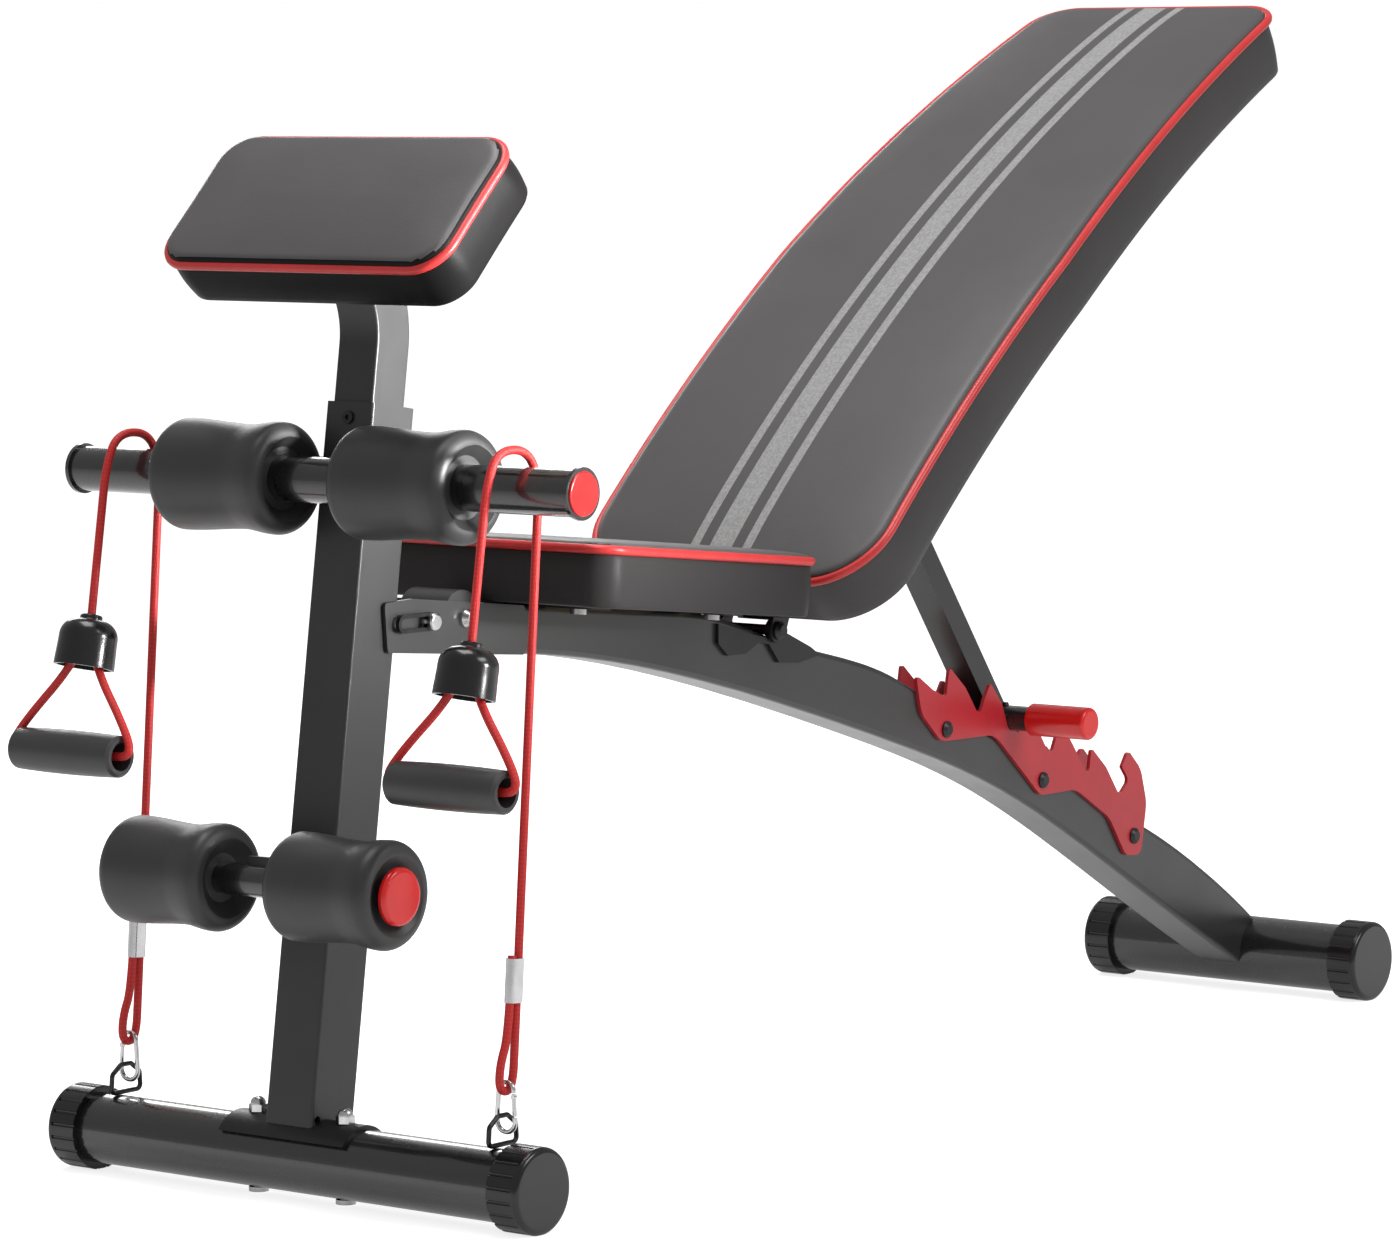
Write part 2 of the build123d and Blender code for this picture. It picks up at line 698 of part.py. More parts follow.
# Lug from the post's rear face to the folding hinge; the lock pin stops its arm from above.
arm_top, arm_low = lock_z - 5.0 - gap, 372.0
with BuildPart() as post_hinge_lug:
    with BuildSketch(side_at()):
        with BuildLine():
            Polyline((70, arm_low + 4), (70, arm_top), (fold_d, arm_top), (fold_d + 8, 376),
                     (fold_d - 6, arm_low - 1), close=True)
        make_face()
        with Locations((fold_d, fold_z)):
            Circle(20)
            Circle(4 + fit, mode=Mode.SUBTRACT)
        with Locations((lock_d, lock_z)):
            Circle(5 + gap, mode=Mode.SUBTRACT)
    extrude(amount=beam_half - gap, both=True)
    with BuildSketch(post_plane(300)):
        RectangleRounded(post_depth, post_width + 10, post_corner)
    extrude(amount=180, mode=Mode.SUBTRACT)
keep(post_hinge_lug, "post_hinge_lug")

nut_height, nut_dome, bolt_end_z = 5.0, 5.6, 1.2
with BuildPart() as foot_bolts:
    for y in (-foot_bolt_y, foot_bolt_y):
        saddle_top = front_foot_z + saddle_radius
        with BuildSketch(Plane(origin=at(0, saddle_top, y))):
            RegularPolygon(6.8, 6)
        extrude(amount=nut_height)
        with Locations(at(0, saddle_top + nut_height, y)):
            Sphere(nut_dome)
        with BuildSketch(Plane(origin=at(0, bolt_end_z, y))):
            Circle(7)
        extrude(amount=front_foot_z - front_foot_radius - bolt_end_z)
        with BuildSketch(Plane(origin=at(0, bolt_end_z + 0.8, y))):
            Circle(4)
        extrude(amount=saddle_top)
keep(foot_bolts, "foot_bolts")

# ---------------------------------------------------------------- ankle bars and rollers
with BuildPart() as upper_bar:
    ring(upper_d, upper_z, upper_radius, upper_radius - 2, -upper_half, upper_half)
    for y in (-upper_half, upper_half - 3):
        ring(upper_d, upper_z, upper_radius + 1.9, upper_radius - 2, y, y + 3)
    saddle_s = upper_z / cos(lean_angle) - 3
    with BuildSketch(post_plane(saddle_s - 14)):
        with Locations((-post_face - 6, 0)):
            Rectangle(12, 30)
    extrude(amount=28)
    with BuildSketch(across(upper_d, upper_z, -20)):
        Circle(upper_radius - 2)
    extrude(amount=40, mode=Mode.SUBTRACT)
keep(upper_bar, "upper_bar")

with BuildPart() as upper_bar_plugs:
    ring(upper_d, upper_z, upper_radius - 2 - fit, 0, upper_half - 16, upper_half)
    ring(upper_d, upper_z, upper_radius - 0.8, 0, upper_half, upper_half + 1.6)
    fillet(upper_bar_plugs.faces().sort_by(Axis.Y)[-1].edges(), 1.2)
    mirror(about=Plane.XZ)
keep(upper_bar_plugs, "upper_bar_plugs")

lower_half = 121.9
with BuildPart() as lower_bar:
    ring(lower_d, lower_z, lower_radius, lower_radius - 2, -lower_half, lower_half)
keep(lower_bar, "lower_bar")

with BuildPart() as lower_bar_bracket:
    stub_s = lower_z / cos(lean_angle) - 6
    with BuildSketch(post_plane(stub_s - 13)):
        with Locations((-post_face - 25, 0)):
            Rectangle(50, 26)
    extrude(amount=26)
    with BuildSketch(across(lower_d, lower_z, -14)):
        Circle(lower_radius + fit)
    extrude(amount=28, mode=Mode.SUBTRACT)
    with BuildSketch(side_at(14)):
        with Locations((lower_d - 30, lower_z)):
            Rectangle(60, 60)
    extrude(amount=28, mode=Mode.SUBTRACT)
keep(lower_bar_bracket, "lower_bar_bracket")

with BuildPart() as lower_bar_caps:
    ring(lower_d, lower_z, lower_radius - 2 - fit, 0, lower_half - 12, lower_half)
    ring(lower_d, lower_z, 20, 0, lower_half, lower_half + 5)
    fillet(lower_bar_caps.faces().sort_by(Axis.Y)[-1].edges(), 3.5)
    mirror(about=Plane.XZ)
keep(lower_bar_caps, "lower_bar_caps")


def foam_roller(d, z, bar_radius, y_from, y_to, flange):
    """Foam roller with a waist nearer its right end, rounded rims and dished ends."""
    rim, dish = 9.0, 7.0
    waist = (y_from + 0.36 * (y_to - y_from), 0.93 * flange)
    low_crest, high_crest = (y_from + rim, flange), (y_to - rim, flange)
    low_rim, high_rim = (y_from, flange - rim - 1), (y_to, flange - rim - 1)
    slant = rim * 0.29
    with BuildPart() as roller:
        with BuildSketch(along_axis(d, z)):
            with BuildLine():
                Polyline(
                    (y_from + dish, bar_radius + fit), (y_from + dish, bar_radius + 6), low_rim
                )
                ThreePointArc(low_rim, (y_from + slant, flange - slant), low_crest)
                Spline(low_crest, waist, high_crest, tangents=((1, 0), (1, 0), (1, 0)))
                ThreePointArc(high_crest, (y_to - slant, flange - slant), high_rim)
                Polyline(
                    high_rim, (y_to - dish, bar_radius + 6), (y_to - dish, bar_radius + fit),
                    (y_from + dish, bar_radius + fit),
                )
            make_face()
        revolve(axis=Axis(origin=at(d, z), direction=(0, 1, 0)))
    return roller


keep(foam_roller(upper_d, upper_z, upper_radius, 31, 133, 39.3), "foam_roller_upper_left")
keep(foam_roller(upper_d, upper_z, upper_radius, -133, -31, 39.3), "foam_roller_upper_right")
keep(foam_roller(lower_d, lower_z, lower_radius, 29, 121.5, 37.5), "foam_roller_lower_left")
keep(foam_roller(lower_d, lower_z, lower_radius, -121.5, -29, 37.5), "foam_roller_lower_right")

# ---------------------------------------------------------------- preacher pad
preacher_lean = radians(45.2)
preacher_depth, preacher_width, preacher_thickness = 124.0, 254.5, 40.0
preacher_plane = Plane(
    origin=at(34, 686.6),
    x_dir=(cos(preacher_lean), 0, sin(preacher_lean)),
    z_dir=(-sin(preacher_lean), 0, cos(preacher_lean)),
)
preacher_board = 10.0
preacher_corner = 26.0
plate_drop = preacher_thickness + 4.0
preacher_spots = [(x, y) for x in (-30, 30) for y in (-44, 44)]

with BuildPart() as preacher_board_part:
    with BuildSketch(preacher_plane.offset(-preacher_thickness)):
        RectangleRounded(preacher_depth - 30, preacher_width - 30, 14)
        with Locations(*preacher_spots):
            Circle(2.5 + fit, mode=Mode.SUBTRACT)
    extrude(amount=preacher_board)
keep(preacher_board_part, "preacher_board")

with BuildPart() as preacher_pad:
    with BuildSketch(preacher_plane.offset(-preacher_thickness)):
        RectangleRounded(preacher_depth, preacher_width, preacher_corner)
    extrude(amount=preacher_thickness)
    with BuildSketch(preacher_plane.offset(-preacher_thickness)):
        RectangleRounded(preacher_depth - 30, preacher_width - 30, 14)
    extrude(amount=preacher_board, mode=Mode.SUBTRACT)
keep(preacher_pad, "preacher_pad")

with BuildPart() as preacher_plate:
    with BuildSketch(preacher_plane.offset(-plate_drop)):
        RectangleRounded(82, 112, 8)
        with Locations(*preacher_spots):
            Circle(2.5 + fit, mode=Mode.SUBTRACT)
    extrude(amount=4)
keep(preacher_plate, "preacher_plate")

with BuildPart() as preacher_screws:
    with BuildSketch(preacher_plane.offset(-plate_drop - 3)):
        with Locations(*preacher_spots):
            Circle(5)
    extrude(amount=3)
    with BuildSketch(preacher_plane.offset(-plate_drop)):
        with Locations(*preacher_spots):
            Circle(2.5)
    extrude(amount=12)
keep(preacher_screws, "preacher_screws")

# Square pole: straight inside the post, then bent forward to meet the pad squarely.
pole_start_s, pole_bend_s, pole_bend_radius, pole_wall = 385.0, 592.0, 72.0, 2.0
pole_turn = radians(45.2 + post_lean)


def pole_bend_point(turn):
    """Point on the pole's bend after turning forward by an angle."""
    start = post_point(pole_bend_s, pole_out)
    heading = radians(90) - lean_angle
    d = -sin(heading) + sin(heading + turn)
    z = cos(heading) - cos(heading + turn)
    return start + Vector(d, 0, z) * pole_bend_radius


with BuildPart() as preacher_pole:
    with BuildLine() as pole_path:
        low = post_point(pole_start_s, pole_out)
        bend_end = pole_bend_point(pole_turn)
        plate_gap = preacher_plane.offset(-plate_drop).to_local_coords(bend_end).Z
        Line(low, pole_bend_point(0))
        ThreePointArc(pole_bend_point(0), pole_bend_point(pole_turn / 2), bend_end)
        Line(bend_end, bend_end - preacher_plane.z_dir * plate_gap)
    pole_foot = Plane(
        origin=low, x_dir=(cos(lean_angle), 0, -sin(lean_angle)),
        z_dir=(sin(lean_angle), 0, cos(lean_angle)),
    )
    with BuildSketch(pole_foot):
        RectangleRounded(pole_depth, pole_width, pole_corner)
        RectangleRounded(
            pole_depth - 2 * pole_wall, pole_width - 2 * pole_wall, 1, mode=Mode.SUBTRACT
        )
    sweep(path=pole_path.line)
keep(preacher_pole, "preacher_pole")

# ---------------------------------------------------------------- rope eyelets and snap hooks
wire = 1.75
ring_d, ring_base_z, ring_arch = 8.0, front_foot_z + front_foot_radius + 1.8, 15.0
with BuildPart() as rope_eyelets:
    with BuildLine() as eyelet_path:
        FilletPolyline(
            at(ring_d - ring_arch, ring_base_z, rope_y),
            at(ring_d - 14, ring_base_z + 13, rope_y),
            at(ring_d - 5, ring_base_z + 19.5, rope_y),
            at(ring_d + 5, ring_base_z + 19.5, rope_y),
            at(ring_d + 14, ring_base_z + 13, rope_y),
            at(ring_d + ring_arch, ring_base_z, rope_y),
            radius=3.6, close=True,
        )
    with BuildSketch(Plane(origin=eyelet_path.line @ 0, z_dir=eyelet_path.line % 0)):
        Circle(wire)
    sweep(path=eyelet_path.line)
    mirror(about=Plane.XZ)
keep(rope_eyelets, "rope_eyelets")

hook_d = 12.0
hook_low = (8.4, 64.0)                 # lower corner: half width and height
hook_high = (5.9, 97.8)
gate_low, gate_high = 0.30, 0.80       # share of the hook's side left open for its gate
gate_pivot = 0.72


def hook_side(share, way=1):
    """Point on the straight side of a snap hook, between its low and high corners."""
    y = hook_low[0] + (hook_high[0] - hook_low[0]) * share
    z = hook_low[1] + (hook_high[1] - hook_low[1]) * share
    return at(hook_d, z, rope_y + way * y)


with BuildPart() as carabiners:
    with BuildLine() as hook_path:
        FilletPolyline(
            hook_side(gate_low), hook_side(0), hook_side(0, -1), hook_side(1, -1), hook_side(1),
            hook_side(gate_high), radius=(7.4, 7.4, 5.4, 5.4),
        )
    with BuildSketch(Plane(origin=hook_path.line @ 0, z_dir=hook_path.line % 0)):
        Circle(wire)
    sweep(path=hook_path.line)
    mirror(about=Plane.XZ)
keep(carabiners, "carabiners")

with BuildPart() as carabiner_gate_left:
    gate_from = hook_side(gate_low + 0.03)
    gate_to = hook_side(gate_high - 0.02)
    with BuildSketch(Plane(origin=gate_from, z_dir=gate_to - gate_from)):
        Circle(1.5)
    extrude(amount=(gate_to - gate_from).length)
    with Locations(hook_side(gate_pivot)):
        Cylinder(1.6, 3.4, rotation=(0, 90, 0))
keep(carabiner_gate_left, "carabiner_gate_left")
with BuildPart() as carabiner_gate_right:
    mirror(carabiner_gate_left.part, about=Plane.XZ)
keep(carabiner_gate_right, "carabiner_gate_right")

# ---------------------------------------------------------------- band ropes
strand_low_d, strand_low_z, strand_slope = 19.0, 91.7, 0.0731
strand_gap = 6.74
crimp_low_z, crimp_high_z = 151.0, 181.0


def strand(z, beside=0.0):
    """Point on the taut strand from the snap hook to the upper bar."""
    return (strand_low_d + strand_slope * (z - strand_low_z) - beside, z)


bell_lean = 13.6                    # handle hangs this far from plumb, degrees
pivot_d, pivot_z = -22.9, 394.6     # rope's end in the bell's throat
rope_points = [
    strand(183, strand_gap),
    strand(130, strand_gap),
    (5.1, 109),
    (5.0, strand_low_z),
    (strand_low_d, strand_low_z),
    strand(502),
    (36.5, 524),
    (5, 524),
    (-6.5, 500),
    (pivot_d, pivot_z),
]


def bend_radii(points):
    """Arc radius at every corner: 0.45 of the shorter run over tan of half the turn."""
    radii = []
    for before, corner, after in zip(points, points[1:], points[2:]):
        into = Vector(*corner) - Vector(*before)
        out = Vector(*after) - Vector(*corner)
        turn = radians(into.get_angle(out))
        radii.append(0.45 * min(into.length, out.length) / tan(turn / 2))
    return radii


def cord(points, radius, name):
    """Round cord through points of the bench."""
    radii = bend_radii(points)
    with BuildPart() as tube:
        with BuildLine() as path:
            FilletPolyline(*points, radius=radii)
        with BuildSketch(Plane(origin=path.line @ 0, z_dir=path.line % 0)):
            Circle(radius)
        sweep(path=path.line)
    length = sum(e.length for e in path.line.edges())
    share = tube.part.volume / (3.14159265 * radius**2 * length)
    print(name, "radii", [round(r, 1) for r in radii], "length", round(length),
          "volume share", round(share, 3))
    return tube


band_rope_left = cord([tuple(at(d, z, rope_y)) for d, z in rope_points], rope_radius, "band rope")
keep(band_rope_left, "band_rope_left")
with BuildPart() as band_rope_right:
    mirror(band_rope_left.part, about=Plane.XZ)
keep(band_rope_right, "band_rope_right")

with BuildPart() as rope_crimps:
    low_d, low_z = strand(crimp_low_z, strand_gap / 2)
    rise = Vector(strand_slope, 0, 1).normalized()
    with BuildSketch(Plane(
        origin=at(low_d, low_z, rope_y), x_dir=(1, 0, -strand_slope), z_dir=tuple(rise)
    )):
        RectangleRounded(14.5, 8.5, 4.1)
        with Locations((-strand_gap / 2, 0), (strand_gap / 2, 0)):
            Circle(rope_radius + 0.04, mode=Mode.SUBTRACT)
    extrude(amount=crimp_high_z - crimp_low_z)
    mirror(about=Plane.XZ)
keep(rope_crimps, "rope_crimps")

# ---------------------------------------------------------------- handles
# The handle hangs from the pivot; t runs down its axis from the bell's top.
bell_angle = radians(bell_lean)
bell_throat = 4.0                   # pivot below the bell's top


def handle_point(t, y=0.0):
    drop = t - bell_throat
    return at(pivot_d - drop * sin(bell_angle), pivot_z - drop * cos(bell_angle), rope_y + y)


handle_plane = Plane(
    origin=handle_point(0),
    x_dir=(0, 1, 0),
    z_dir=(cos(bell_angle), 0, -sin(bell_angle)),
)
handle_axis = Axis(origin=handle_point(0), direction=(sin(bell_angle), 0, cos(bell_angle)))

with BuildPart() as handle_bell_left:
    with BuildSketch(handle_plane):
        with BuildLine():
            Polyline((0, -0.6), (6.8, -0.6), (7.9, -1.6), (7.9, -3.6), (8.3, -4))
            ThreePointArc((8.3, -4), (17.0, -7.8), (20.7, -16.5))
            Spline((20.7, -16.5), (21.5, -38), tangents=((0, -1), (0.02, -1)))
            Line((21.5, -38), (19, -38))
            Line((19, -38), (18.2, -20))
            ThreePointArc((18.2, -20), (16.9, -15.2), (12.5, -13))
            Line((12.5, -13), (0, -13))
            Line((0, -13), (0, -0.6))
        make_face()
    revolve(axis=handle_axis)
    with Locations(handle_point(bell_throat)):
        Sphere(rope_radius + 0.5, mode=Mode.SUBTRACT)
    with BuildSketch(handle_plane):
        with BuildLine():
            Polyline((0, -bell_throat), (3.75, -bell_throat), (3.75 + 0.56 * 4, 0), (0, 0), close=True)
        make_face()
    revolve(axis=handle_axis, mode=Mode.SUBTRACT)
keep(handle_bell_left, "handle_bell_left")
with BuildPart() as handle_bell_right:
    mirror(handle_bell_left.part, about=Plane.XZ)
keep(handle_bell_right, "handle_bell_right")

grip_t = bell_throat + hypot(grip_d - pivot_d, grip_z - pivot_z)
handle_cord_points = [
    (-4.0, 13.2), (-5.5, 31), (-53, 84.5), (-56, grip_t), (56, grip_t), (53, 84.5), (5.5, 31),
    (4.0, 13.2),
]
handle_cord_left = cord(
    [tuple(handle_point(t, y)) for y, t in handle_cord_points], rope_radius, "handle cord"
)
keep(handle_cord_left, "handle_cord_left")
with BuildPart() as handle_cord_right:
    mirror(handle_cord_left.part, about=Plane.XZ)
keep(handle_cord_right, "handle_cord_right")

grip_centre = handle_point(grip_t)
with BuildPart() as hand_grip_left:
    with BuildSketch(Plane(origin=grip_centre, x_dir=(0, 1, 0), z_dir=(1, 0, 0))):
        with BuildLine():
            Line((-grip_half, grip_bore), (-grip_half, grip_radius - 3))
            Line((-grip_half, grip_radius - 3), (-grip_half + 2, grip_radius - 1))
            ThreePointArc(
                (-grip_half + 2, grip_radius - 1), (0, grip_radius), (grip_half - 2, grip_radius - 1)
            )
            Line((grip_half - 2, grip_radius - 1), (grip_half, grip_radius - 3))
            Line((grip_half, grip_radius - 3), (grip_half, grip_bore))
            Line((grip_half, grip_bore), (-grip_half, grip_bore))
        make_face()
    revolve(axis=Axis(origin=grip_centre, direction=(0, 1, 0)))
keep(hand_grip_left, "hand_grip_left")
with BuildPart() as hand_grip_right:
    mirror(hand_grip_left.part, about=Plane.XZ)
keep(hand_grip_right, "hand_grip_right")
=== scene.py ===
import bmesh
import bpy
from math import cos, exp, hypot, pi, radians, sin
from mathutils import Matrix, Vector, noise


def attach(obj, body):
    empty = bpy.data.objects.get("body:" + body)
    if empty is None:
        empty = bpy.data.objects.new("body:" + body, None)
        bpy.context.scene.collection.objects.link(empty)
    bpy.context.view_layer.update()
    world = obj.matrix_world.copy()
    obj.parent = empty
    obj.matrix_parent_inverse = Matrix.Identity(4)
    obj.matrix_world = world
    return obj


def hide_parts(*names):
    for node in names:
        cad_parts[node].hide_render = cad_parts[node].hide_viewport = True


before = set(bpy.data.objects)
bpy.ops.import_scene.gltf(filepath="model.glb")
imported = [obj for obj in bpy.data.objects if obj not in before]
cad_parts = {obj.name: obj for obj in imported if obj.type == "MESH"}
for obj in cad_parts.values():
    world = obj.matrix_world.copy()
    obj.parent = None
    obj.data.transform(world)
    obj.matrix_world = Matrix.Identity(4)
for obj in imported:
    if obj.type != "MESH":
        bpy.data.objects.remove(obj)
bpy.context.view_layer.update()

FRONT_FOOT_X = -584.2


def at(d, z, y=0.0):
    """Millimetres behind the front foot's axis, height and side, to metres in the frame."""
    return Vector(((FRONT_FOOT_X + d) / 1000, y / 1000, z / 1000))


# ------------------------------------------------------------------ camera
CAMERA_SPOT = (-2927.9, 750.3, -2588.1)          # d, z, y
CAMERA_TURN, CAMERA_DIP = -52.808, 5.152
CAMERA_LENS, CAMERA_SHIFT = 147.03, (-0.01816, 0.00285)


def place_camera():
    data = bpy.data.cameras.new("camera")
    camera = bpy.data.objects.new("camera", data)
    bpy.context.scene.collection.objects.link(camera)
    camera.location = at(*CAMERA_SPOT)
    camera.rotation_euler = (radians(90 - CAMERA_DIP), 0, radians(CAMERA_TURN))
    data.sensor_width = 36
    data.lens = CAMERA_LENS
    data.shift_x, data.shift_y = CAMERA_SHIFT
    data.clip_end = 50
    bpy.context.scene.camera = camera


place_camera()


# ------------------------------------------------------------------ material kit
class Nodes:
    """Small helper that adds and links shader nodes of one material."""

    def __init__(self, name, rough, coat=0.0, metallic=0.0, specular=0.5, coat_rough=0.1):
        self.material = bpy.data.materials.new(name)
        self.material.use_nodes = True
        self.tree = self.material.node_tree
        self.shader = self.tree.nodes["Principled BSDF"]
        self.shader.inputs["Roughness"].default_value = rough
        self.shader.inputs["Metallic"].default_value = metallic
        self.shader.inputs["Coat Weight"].default_value = coat
        self.shader.inputs["Coat Roughness"].default_value = coat_rough
        self.shader.inputs["Specular IOR Level"].default_value = specular
        self.place = self.add("ShaderNodeTexCoord").outputs["Object"]

    def add(self, kind, **settings):
        node = self.tree.nodes.new(kind)
        for key, value in settings.items():
            setattr(node, key, value)
        return node

    def link(self, source, target):
        self.tree.links.new(source, target)

    def noise(self, scale, detail=3.0, stretch=(1, 1, 1)):
        mapping = self.add("ShaderNodeMapping")
        mapping.inputs["Scale"].default_value = stretch
        self.link(self.place, mapping.inputs["Vector"])
        node = self.add("ShaderNodeTexNoise")
        node.inputs["Scale"].default_value = scale
        node.inputs["Detail"].default_value = detail
        node.inputs["Roughness"].default_value = 0.55
        self.link(mapping.outputs[0], node.inputs["Vector"])
        return node.outputs["Fac"]

    def cells(self, scale, feature="F1"):
        node = self.add("ShaderNodeTexVoronoi", feature=feature)
        node.inputs["Scale"].default_value = scale
        self.link(self.place, node.inputs["Vector"])
        return node.outputs["Distance"]

    def uv_parts(self):
        """The two numbers of the mesh's UV map."""
        split = self.add("ShaderNodeSeparateXYZ")
        self.link(self.add("ShaderNodeTexCoord").outputs["UV"], split.inputs[0])
        return split.outputs[0], split.outputs[1]

    def ramp(self, value, stops):
        node = self.add("ShaderNodeValToRGB")
        for element, (spot, colour) in zip(node.color_ramp.elements, stops):
            element.position = spot
            element.color = (*colour, 1)
        self.link(value, node.inputs["Fac"])
        return node.outputs["Color"]

    def maths(self, operation, a, b=None, clamp=False):
        node = self.add("ShaderNodeMath", operation=operation, use_clamp=clamp)
        for socket, value in zip(node.inputs, (a, b)):
            if value is None:
                continue
            if isinstance(value, (int, float)):
                socket.default_value = value
            else:
                self.link(value, socket)
        return node.outputs[0]

    def mix(self, share, a, b):
        """Colour a where share is 0, b where it is 1; each is a socket or a plain colour."""
        node = self.add("ShaderNodeMix", data_type="RGBA")
        self.link(share, node.inputs[0])
        for socket, value in ((node.inputs[6], a), (node.inputs[7], b)):
            if isinstance(value, tuple):
                socket.default_value = (*value, 1)
            else:
                self.link(value, socket)
        return node.outputs[2]

    def spread(self, value, low, high):
        node = self.add("ShaderNodeMapRange")
        node.inputs["To Min"].default_value = low
        node.inputs["To Max"].default_value = high
        self.link(value, node.inputs["Value"])
        return node.outputs[0]

    def bump(self, height, strength, distance, below=None):
        node = self.add("ShaderNodeBump")
        node.inputs["Strength"].default_value = strength
        node.inputs["Distance"].default_value = distance
        self.link(height, node.inputs["Height"])
        if below is not None:
            self.link(below, node.inputs["Normal"])
        return node.outputs[0]

    def finish(self, colour, rough, normal):
        self.link(colour, self.shader.inputs["Base Color"])
        if rough is not None:
            self.link(rough, self.shader.inputs["Roughness"])
        self.link(normal, self.shader.inputs["Normal"])
        return self.material


def grey(level):
    return (level, level, level * 1.01)


def tone(colour, factor):
    return tuple(min(1, c * factor) for c in colour)


def powder_coat(name, colour, rough, lift=1.15, coat=0.12, coat_rough=0.2):
    """Powder coat: fine orange peel over a faint mottling."""
    kit = Nodes(name, rough, coat=coat, coat_rough=coat_rough)
    mottling = kit.noise(14, detail=4)
    base = kit.ramp(mottling, ((0.3, tone(colour, 0.88)), (0.7, tone(colour, lift))))
    roughness = kit.spread(kit.noise(30), rough - 0.05, rough + 0.07)
    return kit.finish(base, roughness, kit.bump(kit.noise(900, detail=2), 0.08, 0.0005))


def moulded(name, colour, rough, grain, coat=0.0):
    """Moulded plastic with a fine spark-eroded grain."""
    kit = Nodes(name, rough, coat=coat)
    base = kit.ramp(kit.noise(20), ((0.3, tone(colour, 0.9)), (0.7, tone(colour, 1.1))))
    roughness = kit.spread(kit.noise(60), rough - 0.06, rough + 0.06)
    return kit.finish(base, roughness, kit.bump(kit.cells(1400), grain, 0.0004))


def steel(name, colour, rough=0.22):
    """Plated steel: slight streaks and blotches."""
    kit = Nodes(name, rough, metallic=1.0)
    streak = kit.noise(60, detail=4, stretch=(1, 6, 1))
    base = kit.ramp(streak, ((0.25, tone(colour, 0.78)), (0.7, colour)))
    roughness = kit.spread(kit.noise(120), rough - 0.06, rough + 0.1)
    return kit.finish(base, roughness, kit.bump(streak, 0.05, 0.0003))


def foam(name, level):
    """Closed-cell foam with a smooth skin: very fine pores and a soft satin sheen."""
    kit = Nodes(name, 0.48, coat=0.25, coat_rough=0.36)
    mottling = kit.noise(24, detail=2)
    base = kit.ramp(mottling, ((0.3, grey(level * 0.92)), (0.75, grey(level * 1.1))))
    return kit.finish(base, kit.spread(kit.noise(30), 0.43, 0.53), kit.bump(kit.cells(1300), 0.10, 0.0004))


def plywood(name):
    """Plywood with its grain along the board."""
    kit = Nodes(name, 0.6)
    rings = kit.noise(8, detail=6, stretch=(1, 14, 14))
    base = kit.ramp(rings, ((0.3, (0.34, 0.23, 0.13)), (0.7, (0.52, 0.38, 0.24))))
    fibres = kit.noise(40, detail=4, stretch=(1, 10, 10))
    return kit.finish(base, None, kit.bump(fibres, 0.2, 0.0008))


BEAM = powder_coat("beam_paint", grey(0.022), rough=0.34, coat=0.4, coat_rough=0.28)
POST = powder_coat("post_paint", grey(0.024), rough=0.38)
TUBE = powder_coat("tube_gloss_paint", grey(0.010), rough=0.26, coat=0.9, coat_rough=0.08)
STRUT = powder_coat("strut_paint", grey(0.018), rough=0.35, coat=0.25)
BRACKET = powder_coat("bracket_paint", grey(0.005), rough=0.42, coat=0.05)
RACK = powder_coat("rack_paint", (0.56, 0.020, 0.032), rough=0.36, lift=1.08)
CAP = moulded("cap_plastic", grey(0.006), rough=0.22, grain=0.03, coat=0.12)
RED_CAP = moulded("red_plastic", (0.82, 0.008, 0.008), rough=0.25, grain=0.06, coat=0.3)
GRIP = moulded("grip_plastic", grey(0.040), rough=0.4, grain=0.2)
ZINC = steel("zinc_plate", (0.68, 0.68, 0.69))
BLACK_STEEL = steel("black_plate", (0.05, 0.05, 0.05), rough=0.3)
FOAM = foam("roller_foam", 0.024)
PLY = plywood("board_plywood")

LOOKS = {
    BEAM: ("main_beam", "fold_cheek_plates"),
    TUBE: ("rear_foot_tube", "front_foot_tube", "crossbar", "upper_bar", "lower_bar"),
    STRUT: ("support_strut",),
    POST: ("front_post", "post_hinge_lug", "lower_bar_bracket", "preacher_pole"),
    BRACKET: (
        "rack_bolts", "seat_brackets", "back_hinge_yoke", "backrest_frame", "post_foot_plate",
        "preacher_plate", "back_hinge_bolt", "post_clamp_screw", "crossbar_screw",
    ),
    RACK: ("rack_plate_left", "rack_plate_right"),
    CAP: (
        "beam_front_plug", "rear_foot_caps", "front_foot_caps", "handle_bell_left",
        "handle_bell_right",
    ),
    RED_CAP: ("crossbar_caps", "upper_bar_plugs", "lower_bar_caps"),
    GRIP: ("hand_grip_left", "hand_grip_right"),
    ZINC: (
        "fold_hinge_bolt", "seat_screws", "lock_pin", "backrest_screws", "strut_pivot_bolt",
        "foot_bolts", "rope_crimps", "carabiners", "preacher_screws", "carabiner_gate_left",
        "carabiner_gate_right",
    ),
    BLACK_STEEL: ("lock_pin_ring", "rope_eyelets"),
    FOAM: (
        "foam_roller_upper_left", "foam_roller_upper_right", "foam_roller_lower_left",
        "foam_roller_lower_right",
    ),
    PLY: ("seat_board", "backrest_board", "preacher_board"),
}
for look, names in LOOKS.items():
    for node_name in names:
        for material_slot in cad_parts[node_name].material_slots:
            material_slot.material = look


# ------------------------------------------------------------------ ropes
BRAID_STRANDS, BRAID_PITCH = 8.0, 0.012


